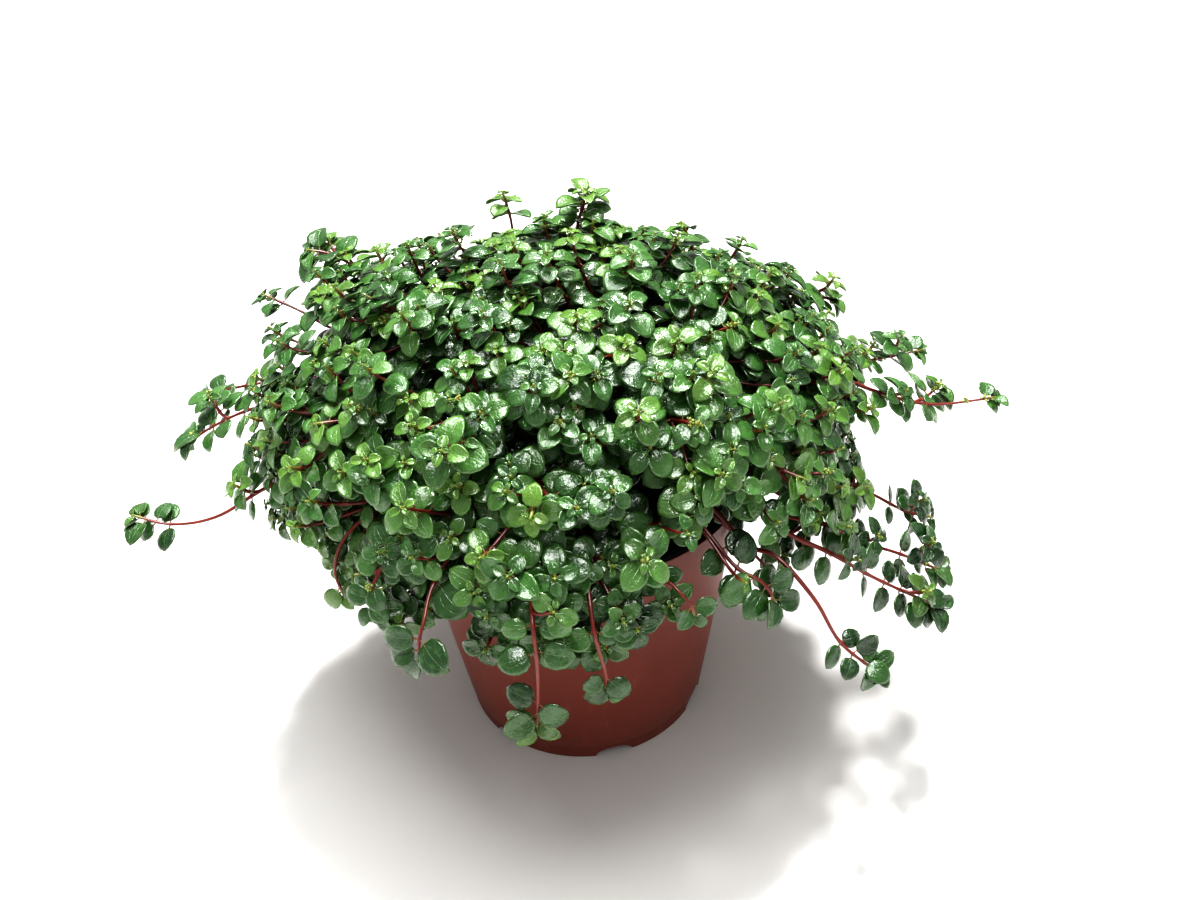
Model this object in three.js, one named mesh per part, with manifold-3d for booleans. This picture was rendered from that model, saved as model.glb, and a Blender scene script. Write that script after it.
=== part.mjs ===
// A trailing house plant in a round nursery pot: a domed bush of thin red stems with small round
// leaves in crossed pairs, growing from potting soil in a tapered plastic pot 120 mm across.
// Millimetres, +Z up. The origin is the centre of the pot's underside, on the surface it stands on.
import * as THREE from "three";
import { mergeVertices } from "three/addons/utils/BufferGeometryUtils.js";
import Module from "manifold-3d";

const wasm = await Module();
wasm.setup();
const { Manifold, Mesh: SolidMesh } = wasm;

// ---------------------------------------------------------------- driving dimensions

const CLEARANCE = 0.35; // kept between any two pieces
const WELD = 1e-3; // vertices closer than this are one

// pot
const RIM_RADIUS = 60;
const POT_HEIGHT = 97;
const BASE_RADIUS = 47; // where the stacking step meets the tapered wall
const WALL = 1.2;
const STEP_HEIGHT = 6.5; // the foot below the stacking step
const STEP_INSET = 0.9;
const RIM_WIDTH = 4; // the rim is a bead on the inside of the wall, this wide and this tall
const FLOOR = 1.6; // thickness of the floor
const CHANNEL_RISE = 3.2; // the floor is raised between its centre disc and the foot, for drainage
const DISC_RADIUS = 20;
const SLOPE = 2; // how far the raised floor's sloping edges run
const RIM_ROUND = 0.6; // the rim's edges are cut off by this much
const FOOT_WIDTH = 3.4;
const POT_SIDES = 32;
const NOTCHES = 7;
const NOTCH_WIDTH = 14;
const NOTCH_HEIGHT = 3.6;
const NOTCH_ANGLE = -80; // degrees, the notch that faces the viewer
const DRAIN_RADIUS = 4; // a drain hole through the floor by each notch
const DRAIN_RING = 33;

// soil
const SOIL_TOP = 86;
const SOIL_CROWN = 2.5; // the middle stands this much higher than the edge
const EDGE_DROP = 2; // the soil falls away at the wall by this much
const EDGE_SLOPE = 3; // over this width
const SOIL_SIDES = 16;
const HOLE_RADIUS = 2.2;
const ROOT_DEPTH = 8; // how far a stem stands in its hole

// stems: four-sided stalks, thinner towards the tip, with a short collar wherever something grows
const STEM_RADIUS = 1.15;
const TWIG_RADIUS = 0.9;
const TIP_RADIUS = 0.75;
const COLLAR = 1.2; // length of a collar
const STEM_BEND = 26; // a stem bends about this often on its way
const BEND_ROOM = 3; // a bend stays this far from a collar
const ROOT_SPREAD = 45; // the outermost stems leave the soil this far from the middle
const NECK = 1.5; // a stem stands upright to this far above the soil
const ARCH_RISE = 30; // how high a stem arches above a straight way to the dome
const ARCH_REACH = 0.35; // of the way to the dome, where the arch is highest

// the bush: stems end on a dome, a unit sphere stretched by REACH about CENTRE
const CENTRE = new THREE.Vector3(0, 8, 95);
const REACH = new THREE.Vector3(106, 90, 82);
const LOWEST = THREE.MathUtils.degToRad(95); // the dome reaches this far down from straight up
const LUMPS = [
  { towards: new THREE.Vector3(-0.75, 0.25, 0.6), by: 0.15 },
  { towards: new THREE.Vector3(0.6, 0.4, 0.7), by: 0.05 },
  { towards: new THREE.Vector3(-0.8, -0.6, -0.2), by: -0.12 },
  { towards: new THREE.Vector3(0.8, -0.6, -0.2), by: -0.12 },
]; // where it swells or draws in, as a share of its radius
const LUMP_SHARPNESS = 4;
const MOUND_STEMS = 30; // directions on the dome, before those near a runner are left out
const RUNNER_ROOM = 0.3; // a mound stem stays this far from a runner, on the unit sphere
const TIPS = 175; // tips over the whole dome, each of them carried by the nearest stem
const TIP_ROOM = 0.12; // a twig's tip stays this far from its stem, on the unit sphere
const TWIG_STARTS = [0.8, 0.68, 0.56, 0.46]; // of the way to the dome, two twigs from each
const TWIG_ELBOW = 9; // how far a twig stands off its stem before it bends to its end
const ELBOW_REACH = 0.15; // how far the elbow leans to the twig's end, of the way there
const TWIG_BEND = 0.4; // of a twig's length, the ring at its bend
const STEM_DEPTH = [0.98, 1.03]; // where the stems end, of the dome's radius
const TWIG_DEPTH = [0.93, 1.01]; // where the twigs end
const GOLDEN_TURN = Math.PI * (3 - Math.sqrt(5));

// leaves
const RUNNER_LEAF = 8.8;
const MOUND_LEAF = 14.5; // larger than life, so that fewer leaves still cover the dome
const LEAF_SAG = 0.08; // how far its edge hangs, of its length
const LEAF_CROWN = 0.5; // how far its middle stands up
const LEAF_LEAN = 0.5; // how far a leaf leans towards the tip
const LEAF_FLATTEN = 0.6; // how far a leaf turns its face to the light
const SMALLEST = 0.85; // the smallest leaf, of the usual length
const LARGEST = 1.1;
const INNER_LEAF = 0.85; // the second pair of a crown, of the first
const CROWN_AT = 2; // distance from the tip of the crown of four leaves
const PAIR_STEP = 9.5; // between the pairs of a runner
const LEAST_OUTWARD = 0.3; // cosine of the most that a leaf turns away from its side of the stem
const TURNS = [0, 25, -25, 45, -45]; // degrees tried, in this order, to clear a neighbour
const SKY = new THREE.Vector3(0, -0.25, 0.4); // the light from above, a little from the front
const OUTSIDE_LIGHT = 0.75; // the light from outside the dome, beside that from the sky
const CLEAR_OF_DOME = 1.35; // where that light has faded out, of the dome's radius
const FADE = 0.3;

// what a repeatable draw is for
const DRAW = { stemEnd: 1, twigEnd: 2, stemTurn: 3, leafSize: 4 };

// Runners are the stems that stand out of the dome: the points that each passes through from the
// place where it leaves the dome to its tip, and the stretch with no leaves, measured from the tip.
const RUNNERS = {
  left_long: { bare: [14, 40], way: [[-104, -8, 104], [-122, -12, 96], [-138, -12, 94], [-150, -12, 99]] },
  left_mid: { bare: [60, 60], way: [[-100, 15, 124], [-114, 15, 121], [-126, 15, 116], [-137, 15, 110]] },
  left_high: { bare: [20, 60], way: [[-98, 36, 122], [-118, 35, 121], [-136, 35, 118]] },
  left_top: { bare: [9, 40], way: [[-84, 42, 138], [-95, 44, 145], [-108, 46, 152]] },
  left_crest: { bare: [12, 40], way: [[-68, 48, 154], [-80, 50, 163], [-90, 50, 166]] },
  top_left: { bare: [9, 40], way: [[-15, 42, 166], [-16, 45, 175], [-18, 46, 184]] },
  top_mid: { bare: [40, 60], way: [[6, 36, 168], [9, 40, 178], [12, 42, 185]] },
  top_right: { bare: [9, 40], way: [[50, 44, 150], [48, 48, 161], [45, 50, 168]] },
  right_crest: { bare: [60, 60], way: [[76, 38, 141], [90, 40, 141], [103, 40, 137]] },
  right_high: { bare: [40, 60], way: [[92, 30, 122], [111, 30, 117], [134, 30, 120]] },
  right_long: { bare: [6, 20], way: [[94, 4, 124], [108, 2, 119], [126, 0, 114], [150, 0, 115]] },
  right_mid: { bare: [16, 34], way: [[90, -20, 98], [104, -20, 89], [119, -20, 81], [130, -20, 76]] },
  right_low_a: { bare: [24, 34], way: [[80, -36, 93], [92, -36, 84], [107, -36, 78], [133, -35, 64]] },
  right_low_b: { bare: [34, 52], way: [[66, -44, 97], [92, -48, 79], [105, -48, 71], [127, -48, 54]] },
  right_drop: { bare: [22, 60], way: [[52, -50, 98], [64, -54, 94], [78, -65, 74], [93, -74, 60]] },
  front_drop: { bare: [16, 27], way: [[-14, -76, 106], [-14, -84, 100], [-14, -85, 86], [-16, -83, 60]] },
  front_left: { bare: [12, 24], way: [[-42, -66, 106], [-44, -76, 99], [-44, -79, 90], [-44, -79, 82]] },
  front_right: { bare: [12, 24], way: [[2, -76, 104], [3, -83, 95], [5, -83, 83], [6, -83, 72]] },
  front_side: { bare: [8, 30], way: [[22, -66, 104], [26, -73, 102], [28, -75, 98], [31, -76, 92]] },
  under_right: { bare: [60, 60], way: [[46, -62, 100], [54, -66, 96], [58, -68, 88]] },
  left_under: { bare: [6, 30], way: [[-70, -42, 108], [-76, -46, 97], [-75, -46, 85]] },
  left_low: { bare: [40, 60], way: [[-58, -58, 106], [-62, -62, 98], [-61, -62, 90]] },
};

// ---------------------------------------------------------------- colours

const finish = (color, roughness) => new THREE.MeshStandardMaterial({ color, roughness, metalness: 0 });
const TERRACOTTA = finish(0x7e4638, 0.5);
const PEAT = finish(0x2a1d16, 0.95);
const LEAF_GREEN = finish(0x3f7a3c, 0.35);

// ---------------------------------------------------------------- solids

// A geometry as a solid, with its shared vertices merged.
function solidOf(geometry) {
  const bare = geometry.index ? geometry.toNonIndexed() : geometry.clone();
  bare.deleteAttribute("normal");
  bare.deleteAttribute("uv");
  const merged = mergeVertices(bare, WELD);
  return new Manifold(
    new SolidMesh({
      numProp: 3,
      vertProperties: new Float32Array(merged.attributes.position.array),
      triVerts: new Uint32Array(merged.index.array),
    }),
  );
}

// A geometry made of triangles, each of them three points.
function geometryOf(triangles) {
  const geometry = new THREE.BufferGeometry();
  return geometry.setFromPoints(triangles.flat());
}

// A solid as a geometry of separate triangles.
function unpacked(solid) {
  const mesh = solid.getMesh();
  const geometry = new THREE.BufferGeometry();
  geometry.setAttribute("position", new THREE.BufferAttribute(mesh.vertProperties, 3));
  geometry.setIndex(new THREE.BufferAttribute(mesh.triVerts, 1));
  return geometry.toNonIndexed();
}

function named(name, geometry, material) {
  geometry.computeVertexNormals();
  const mesh = new THREE.Mesh(geometry, material);
  mesh.name = name;
  return mesh;
}

// A closed profile of [radius, height] points, turned about Z.
function turned(profile, sides) {
  const points = profile.map(([r, z]) => new THREE.Vector2(r, z));
  return new THREE.LatheGeometry(points, sides).rotateX(Math.PI / 2);
}

// A regular prism standing on Z, from one height to another.
function prism(radius, sides, low, high, x, y) {
  const geometry = new THREE.CylinderGeometry(radius, radius, high - low, sides);
  geometry.rotateX(Math.PI / 2);
  geometry.translate(x, y, (low + high) / 2);
  return solidOf(geometry);
}

// ---------------------------------------------------------------- pot and soil

// Outer radius of the tapered wall at a height.
function wallRadius(z) {
  const share = (z - STEP_HEIGHT) / (POT_HEIGHT - STEP_HEIGHT);
  return THREE.MathUtils.lerp(BASE_RADIUS, RIM_RADIUS, share);
}

function pot() {
  const foot = BASE_RADIUS - STEP_INSET;
  const rimInside = RIM_RADIUS - RIM_WIDTH;
  const beadEnd = POT_HEIGHT - 2 * RIM_WIDTH; // where the bead has run out into the wall
  const floorTop = CHANNEL_RISE + FLOOR;
  const body = solidOf(
    turned(
      [
        [0, 0],
        [DISC_RADIUS, 0],
        [DISC_RADIUS + SLOPE, CHANNEL_RISE],
        [foot - FOOT_WIDTH - SLOPE / 2, CHANNEL_RISE],
        [foot - FOOT_WIDTH, 0],
        [foot, 0],
        [foot, STEP_HEIGHT - STEP_INSET],
        [BASE_RADIUS, STEP_HEIGHT],
        [wallRadius(POT_HEIGHT - RIM_ROUND), POT_HEIGHT - RIM_ROUND],
        [RIM_RADIUS - RIM_ROUND, POT_HEIGHT],
        [rimInside + RIM_ROUND, POT_HEIGHT],
        [rimInside, POT_HEIGHT - RIM_ROUND],
        [rimInside, POT_HEIGHT - RIM_WIDTH],
        [wallRadius(beadEnd) - WALL, beadEnd],
        [wallRadius(floorTop) - WALL, floorTop],
        [DISC_RADIUS + SLOPE / 2, floorTop],
        [DISC_RADIUS - SLOPE / 2, FLOOR],
        [0, FLOOR],
        [0, 0],
      ],
      POT_SIDES,
    ),
  );
  const cuts = [];
  for (let i = 0; i < NOTCHES; i++) {
    const angle = THREE.MathUtils.degToRad(NOTCH_ANGLE + (360 / NOTCHES) * i);
    const notch = new THREE.BoxGeometry(3 * FOOT_WIDTH, NOTCH_WIDTH, 2 * NOTCH_HEIGHT);
    notch.translate(foot - FOOT_WIDTH / 2, 0, 0).rotateZ(angle);
    cuts.push(solidOf(notch));
    const x = DRAIN_RING * Math.cos(angle);
    const y = DRAIN_RING * Math.sin(angle);
    cuts.push(prism(DRAIN_RADIUS, 8, CHANNEL_RISE - 1, floorTop + 1, x, y));
  }
  return body.subtract(Manifold.union(cuts));
}

// The potting soil fills the pot to below its rim, with a plain hole where each stem stands.
function soil(roots) {
  const inner = (z) => wallRadius(z) - WALL - CLEARANCE;
  const low = CHANNEL_RISE + FLOOR + CLEARANCE;
  const bed = solidOf(
    turned(
      [
        [0, FLOOR + CLEARANCE],
        [DISC_RADIUS - SLOPE / 2 - CLEARANCE, FLOOR + CLEARANCE],
        [DISC_RADIUS + SLOPE / 2 - CLEARANCE, low],
        [inner(low), low],
        [inner(SOIL_TOP - EDGE_DROP), SOIL_TOP - EDGE_DROP],
        [inner(SOIL_TOP) - EDGE_SLOPE, SOIL_TOP],
        [0, SOIL_TOP + SOIL_CROWN],
        [0, FLOOR + CLEARANCE],
      ],
      SOIL_SIDES,
    ),
  );
  const holes = roots.map(({ x, y }) =>
    prism(HOLE_RADIUS, 4, SOIL_TOP - ROOT_DEPTH - CLEARANCE, SOIL_TOP + 2 * SOIL_CROWN, x, y),
  );
  return bed.subtract(Manifold.union(holes));
}

// ---------------------------------------------------------------- directions

// A repeatable draw from 0 to 1 for whole numbers a, b and c.
function draw(a, b = 0, c = 0) {
  let h = Math.imul(a + 1, 0x9e3779b1) ^ Math.imul(b + 1, 0x85ebca6b) ^ Math.imul(c + 1, 0xc2b2ae35);
  h = Math.imul(h ^ (h >>> 15), 0x2c1b3c6d);
  h = Math.imul(h ^ (h >>> 12), 0x297a2d39);
  return ((h ^ (h >>> 15)) >>> 0) / 2 ** 32;
}

// The point of the dome in a direction of the unit sphere, and the direction of a point.
function domePoint(u, scale = 1) {
  const lump = ({ towards, by }) => by * Math.exp(-LUMP_SHARPNESS * towards.distanceToSquared(u));
  const swell = LUMPS.reduce((sum, place) => sum + lump(place), scale);
  return u.clone().multiply(REACH).multiplyScalar(swell).add(CENTRE);
}
const directionOf = (p) => p.clone().sub(CENTRE).divide(REACH).normalize();

// Where the stem that leans in direction u leaves the soil. Equal shares of the dome get equal
// shares of the soil, so no two stems cross on their way up.
function rootOf(u) {
  const share = Math.min(1, (1 - u.z) / (1 - Math.cos(LOWEST)));
  const aside = Math.hypot(u.x, u.y) || 1;
  const r = ROOT_SPREAD * Math.sqrt(share);
  return new THREE.Vector3((r * u.x) / aside, (r * u.y) / aside, SOIL_TOP);
}

// A stem stands upright in the soil, arches out to the first point of its way and follows the rest.
function stemCurve(way) {
  const root = rootOf(directionOf(way[0]));
  const foot = root.clone().setZ(SOIL_TOP - ROOT_DEPTH);
  const neck = root.clone().setZ(SOIL_TOP + SOIL_CROWN + NECK);
  const bend = root.clone().lerp(way[0], ARCH_REACH);
  bend.z = (neck.z + way[0].z) / 2 + ARCH_RISE;
  const arc = new THREE.QuadraticBezierCurve3(neck, bend, way[0]);
  const points = [neck, arc.getPoint(1 / 3), arc.getPoint(2 / 3), ...way];
  const curve = new THREE.CurvePath();
  curve.add(new THREE.LineCurve3(foot, neck));
  curve.add(new THREE.CatmullRomCurve3(points, false, "catmullrom", 0.5));
  return curve;
}

// Directions spread evenly over the dome by the golden turn.
function directions(count) {
  return Array.from({ length: count }, (_, i) => {
    const z = 1 - ((i + 0.5) / count) * (1 - Math.cos(LOWEST));
    const aside = Math.sqrt(1 - z * z);
    const turn = GOLDEN_TURN * i;
    return new THREE.Vector3(aside * Math.cos(turn), aside * Math.sin(turn), z);
  });
}

// The way the light comes to a point: from outside the dome and from the sky, and from the sky
// alone where a runner stands clear of the dome.
function lightAt(p) {
  const reach = p.clone().sub(CENTRE).divide(REACH);
  const outside = OUTSIDE_LIGHT * THREE.MathUtils.clamp((CLEAR_OF_DOME - reach.length()) / FADE, 0, 1);
  return reach.divide(REACH).normalize().multiplyScalar(outside).add(SKY).normalize();
}

// ---------------------------------------------------------------- stalks

// A ring of a stalk at a point of its curve, with four corners. Side i lies between corners i and
// i + 1 and faces along the axis turned by i quarters.
function ringAt(curve, share, axis, radius) {
  const centre = curve.getPointAt(share);
  const along = curve.getTangentAt(share);
  const x = axis.clone().addScaledVector(along, -axis.dot(along)).setLength(radius);
  const y = along.clone().cross(x);
  const corners = [-0.25, 0.25, 0.75, 1.25].map((turn) => {
    const angle = turn * Math.PI;
    return centre.clone().addScaledVector(x, Math.cos(angle)).addScaledVector(y, Math.sin(angle));
  });
  return { centre, along, axis: x.normalize(), corners };
}

// A stalk along a curve, with a ring at each bend and two rings close together at each collar.
// "start" is the ring that it grows from, if it grows from another stalk.
function stalkAlong(curve, axis, radius, bends, collars, start) {
  const length = curve.getLength();
  const open = bends.filter((s) => collars.every((c) => Math.abs(c - s) > BEND_ROOM));
  const stops = [...open, ...collars.flatMap((c) => [c - COLLAR / 2, c + COLLAR / 2])];
  const rings = start ? [start] : [];
  for (const s of stops.sort((a, b) => a - b)) {
    const thickness = THREE.MathUtils.lerp(radius, TIP_RADIUS, s / length);
    const ring = ringAt(curve, s / length, rings.at(-1)?.axis ?? axis, thickness);
    rings.push({ ...ring, s });
  }
  return { rings, tip: curve.getPointAt(1), length, growth: new Map() };
}

// The collar at a distance along a stalk: the number of its lower ring.
const collarAt = (stalk, s) => stalk.rings.findIndex((ring) => ring.s > s - COLLAR);

// Side i of the step that starts at ring j: its four corners as seen from outside, turning left,
// from the lower left; and the way it faces.
function sideOf(stalk, j, i) {
  const [low, high] = [stalk.rings[j], stalk.rings[j + 1]];
  const k = (i + 1) % 4;
  const loop = [low.corners[i], low.corners[k], high.corners[k], high.corners[i]];
  const middle = loop.reduce((sum, p) => sum.add(p), new THREE.Vector3()).divideScalar(4);
  const facing = low.axis.clone().applyAxisAngle(low.along, (i * Math.PI) / 2);
  return { loop, middle, facing, along: low.along };
}

const quad = ([a, b, c, d]) => [[a, b, c], [a, c, d]];

// The triangles of a stalk, with what grows from its sides in their place: a leaf's triangles or
// another stalk. A bare stalk has nothing on it, and is closed at its start.
function stalkFaces(stalk, bare = false) {
  const faces = bare || !stalk.rings[0].open ? quad([...stalk.rings[0].corners].reverse()) : [];
  for (let j = 0; j + 1 < stalk.rings.length; j++) {
    for (let i = 0; i < 4; i++) {
      const grown = bare ? undefined : stalk.growth.get(4 * j + i);
      faces.push(...(grown?.rings ? stalkFaces(grown) : (grown ?? quad(sideOf(stalk, j, i).loop))));
    }
  }
  const last = stalk.rings.at(-1).corners;
  for (let i = 0; i < 4; i++) faces.push([last[i], last[(i + 1) % 4], stalk.tip]);
  return faces;
}

// ---------------------------------------------------------------- leaves

// A blade's free points in its own frame, with X along it and Z to the light: its edge from the
// tip round by the right to the left, then the middle of its upper face.
function bladePoints(length) {
  const edge = [
    [1, 0, -1.6],
    [0.76, 0.38, -1],
    [0.38, 0.35, -1],
    [0.38, -0.35, -1],
    [0.76, -0.38, -1],
  ].map(([x, y, z]) => new THREE.Vector3(x, y, z * LEAF_SAG).multiplyScalar(length));
  return [...edge, new THREE.Vector3(0.55 * length, 0, LEAF_CROWN)];
}

// The triangles of a blade: a fan round the middle of its upper face, and strips across its lower
// face. It starts at its root, the four corners of the side that it grows from.
function bladeFaces([tip, right, lowRight, lowLeft, left, middle], [a, b, c, d]) {
  const upper = [tip, right, lowRight, c, d, lowLeft, left];
  const faces = upper.map((p, i) => [middle, p, upper[(i + 1) % upper.length]]);
  faces.push([tip, left, right], ...quad([right, left, lowLeft, lowRight]));
  faces.push(...quad([lowRight, lowLeft, a, b]));
  faces.push([c, lowRight, b], [d, a, lowLeft]);
  return faces;
}

// A leaf on one side of a collar: its length along X, turned to the light and leaning to the tip,
// then turned about the light by some degrees. None where it would bend back over its stem. Of the
// side's corners, the one that is lowest and furthest to the left comes first in its root.
function leafOn({ loop, middle, facing, along }, length, degrees) {
  const z = lightAt(middle);
  const x = facing.clone().addScaledVector(along, LEAF_LEAN);
  x.addScaledVector(z, -LEAF_FLATTEN * x.dot(z)).normalize();
  x.applyAxisAngle(z, THREE.MathUtils.degToRad(degrees));
  if (x.dot(facing) < LEAST_OUTWARD) return undefined;
  z.addScaledVector(x, -z.dot(x)).normalize();
  const y = z.clone().cross(x);
  const frame = new THREE.Matrix4().makeBasis(x, y, z).setPosition(middle);
  const points = bladePoints(length).map((p) => p.applyMatrix4(frame));
  const loops = [0, 1, 2, 3].map((i) => [...loop.slice(i), ...loop.slice(0, i)]);
  const upRight = y.clone().add(z);
  const downRight = y.clone().sub(z);
  const fit = ([a, b, c, d]) => upRight.dot(c) - upRight.dot(a) + downRight.dot(b) - downRight.dot(d);
  const root = loops.reduce((best, other) => (fit(other) > fit(best) ? other : best));
  return { points, root };
}

// ---------------------------------------------------------------- assembly

// Every piece placed so far, with the node that it belongs to.
const placed = [];

function keep(node, solid) {
  placed.push({ node, solid, box: solid.boundingBox() });
}

// Whether a solid keeps its distance from all the other nodes.
function isClear(node, solid) {
  const box = solid.boundingBox();
  return placed.every((other) => {
    if (other.node === node) return true;
    const apart = [0, 1, 2].some(
      (i) => other.box.min[i] > box.max[i] + CLEARANCE || box.min[i] > other.box.max[i] + CLEARANCE,
    );
    return apart || other.solid.minGap(solid, CLEARANCE) >= CLEARANCE;
  });
}

// Whether an edge of triangle s that has no end in triangle t goes through t.
function pierces(s, t) {
  return s.some((p, i) => {
    const q = s[(i + 1) % 3];
    if (t.includes(p) || t.includes(q)) return false;
    const ray = new THREE.Ray(p, q.clone().sub(p).normalize());
    const hit = ray.intersectTriangle(...t, false, new THREE.Vector3());
    return hit !== null && hit.distanceTo(p) <= p.distanceTo(q);
  });
}

// Whether two sets of triangles cross.
function cross(some, others) {
  const ball = new THREE.Sphere().setFromPoints(some.flat());
  const near = others.filter((t) => new THREE.Sphere().setFromPoints(t).intersectsSphere(ball));
  return near.some((t) => some.some((s) => pierces(s, t) || pierces(t, s)));
}

// Adds leaves to the collars of a stalk: four at the crown by its tip, and pairs at the
// other distances from the tip, each crossed with the one before.
function addLeaves(stem, stalk, distances, length, seed) {
  distances.forEach((fromTip, order) => {
    const j = collarAt(stalk, stalk.length - fromTip);
    const outer = order % 2 ? [1, 3] : [0, 2];
    const inner = order === 0 ? [1, 3] : [];
    for (const i of [...outer, ...inner]) {
      const share = THREE.MathUtils.lerp(SMALLEST, LARGEST, draw(DRAW.leafSize, seed, 4 * order + i));
      addLeaf(stem, stalk, j, i, length * share * (inner.includes(i) ? INNER_LEAF : 1));
    }
  });
}

// Adds a leaf to side i of the collar at ring j, at the first turn at which nothing is in its way.
function addLeaf(stem, stalk, j, i, size) {
  for (const degrees of TURNS) {
    const leaf = leafOn(sideOf(stalk, j, i), size, degrees);
    if (!leaf) continue;
    const faces = bladeFaces(leaf.points, leaf.root);
    const solid = solidOf(geometryOf([...faces, ...quad([...leaf.root].reverse())]));
    if (!isClear(stem.name, solid) || cross(faces, stalkFaces(stem.stalk))) continue;
    keep(stem.name, solid);
    stalk.growth.set(4 * j + i, faces);
    return;
  }
}

// A side twig grows from the free side of its collar that faces its end best.
function makeTwig({ stalk, starts, twigEnds }, k) {
  const end = twigEnds[k];
  const j = collarAt(stalk, starts[k >> 1]);
  const free = [0, 1, 2, 3].filter((i) => !stalk.growth.has(4 * j + i));
  const toEnd = end.clone().sub(stalk.rings[j].centre);
  const facesEnd = (i) => sideOf(stalk, j, i).facing.dot(toEnd);
  const i = free.reduce((best, other) => (facesEnd(other) > facesEnd(best) ? other : best));
  const { loop, middle, facing, along } = sideOf(stalk, j, i);
  const elbow = middle.clone().addScaledVector(facing, TWIG_ELBOW).lerp(end, ELBOW_REACH);
  const curve = new THREE.QuadraticBezierCurve3(middle, elbow, end);
  const axis = along.clone().negate();
  const start = { corners: loop, centre: middle, along: facing, axis, open: true, s: 0 };
  const length = curve.getLength();
  const twig = stalkAlong(curve, axis, TWIG_RADIUS, [TWIG_BEND * length], [length - CROWN_AT], start);
  return { twig, place: 4 * j + i };
}

// Adds side twig k to a stem, with the crown at its tip, unless something is in its way.
function addTwig(stem, k) {
  const { twig, place } = makeTwig(stem, k);
  const solid = solidOf(geometryOf(stalkFaces(twig, true)));
  if (!isClear(stem.name, solid) || cross(stalkFaces(twig), stalkFaces(stem.stalk))) return;
  keep(stem.name, solid);
  stem.stalk.growth.set(place, twig);
  addLeaves(stem, twig, [CROWN_AT], MOUND_LEAF, 100 * (stem.seed + 1) + k);
}

// ---------------------------------------------------------------- stems

// The length of a stem's way outside the dome, from its first point to its tip.
const openLength = (way) => (way.length > 1 ? new THREE.CatmullRomCurve3(way).getLength() : 0);

// The distances from its tip of a runner's leaves, down to where it leaves the dome.
function runnerLeaves(way, bare) {
  const found = [CROWN_AT];
  for (let d = CROWN_AT + PAIR_STEP; d < openLength(way) + PAIR_STEP; d += PAIR_STEP) {
    if (d < bare[0] || d > bare[1]) found.push(d);
  }
  return found;
}

// The stems: the runners first, then those that end on the dome, away from the runners.
function allStems() {
  const runners = Object.entries(RUNNERS).map(([name, { way, bare }]) => {
    const points = way.map((p) => new THREE.Vector3(...p));
    const leavesAt = runnerLeaves(points, bare);
    return { name: "runner_" + name, way: points, u: directionOf(points[0]), leavesAt, leaf: RUNNER_LEAF };
  });
  const mound = directions(MOUND_STEMS)
    .filter((u) => runners.every((runner) => runner.u.distanceTo(u) > RUNNER_ROOM))
    .map((u, i) => {
      const name = "spray_" + String(i + 1).padStart(2, "0");
      const way = [domePoint(u, THREE.MathUtils.lerp(...STEM_DEPTH, draw(DRAW.stemEnd, i)))];
      return { name, way, u, leavesAt: [CROWN_AT], leaf: MOUND_LEAF };
    });
  return [...runners, ...mound].map((stem, seed) => ({ ...stem, seed, twigEnds: [] }));
}

// Each tip of the dome goes to the nearest stem, as the end of a side twig.
function shareTips(stems) {
  for (const [i, v] of directions(TIPS).entries()) {
    const nearest = stems.reduce((a, b) => (b.u.distanceTo(v) < a.u.distanceTo(v) ? b : a));
    const end = domePoint(v, THREE.MathUtils.lerp(...TWIG_DEPTH, draw(DRAW.twigEnd, i)));
    if (nearest.u.distanceTo(v) > TIP_ROOM) nearest.twigEnds.push(end);
  }
  for (const { way, twigEnds } of stems) {
    twigEnds.sort((a, b) => a.distanceTo(way[0]) - b.distanceTo(way[0]));
    twigEnds.splice(2 * TWIG_STARTS.length);
  }
}

// The stalk of a stem, with a collar for each pair of twigs and for each crown or pair of leaves.
function growStem(stem) {
  const curve = stemCurve(stem.way);
  const length = curve.getLength();
  const inside = length - openLength(stem.way);
  const upright = ROOT_DEPTH + SOIL_CROWN + NECK / 2;
  const count = Math.round((length - upright) / STEM_BEND);
  const bends = Array.from({ length: count }, (_, i) => upright + ((length - upright) * i) / count);
  stem.starts = TWIG_STARTS.slice(0, Math.ceil(stem.twigEnds.length / 2)).map((share) => share * inside);
  const collars = [...stem.starts, ...stem.leavesAt.map((d) => length - d)];
  const turn = 2 * Math.PI * draw(DRAW.stemTurn, stem.seed);
  const axis = new THREE.Vector3(Math.cos(turn), Math.sin(turn), 0);
  stem.stalk = stalkAlong(curve, axis, STEM_RADIUS, [0, ...bends], collars);
  keep(stem.name, solidOf(geometryOf(stalkFaces(stem.stalk, true))));
}

// ---------------------------------------------------------------- the plant

const stems = allStems();
shareTips(stems);
const potSolid = pot();
keep("pot", potSolid);
stems.forEach(growStem);
const bed = soil(stems.map(({ u }) => rootOf(u)));
keep("soil", bed);
for (const stem of stems) addLeaves(stem, stem.stalk, stem.leavesAt, stem.leaf, stem.seed);
for (const stem of stems) stem.twigEnds.forEach((_, k) => addTwig(stem, k));

const plant = new THREE.Group();
plant.add(named("pot", unpacked(potSolid), TERRACOTTA));
plant.add(named("soil", unpacked(bed), PEAT));
for (const { name, stalk } of stems) plant.add(named(name, geometryOf(stalkFaces(stalk)), LEAF_GREEN));

export default plant;
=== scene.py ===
"""A potted trailing pilea: the leaves, stems, pot and soil as they look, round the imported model.

Everything is worked out in millimetres, with +Z up and the origin under the middle of the pot, and
is put into the meshes in metres. The bush is grown: stems rise from the soil, arch out to a lumpy
dome or past it, and fork into twigs that end on the dome. Pairs of leaves, each crossed with the
one before, sit on the ends of all of them, and turn or tilt until they clear one another.
"""

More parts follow.
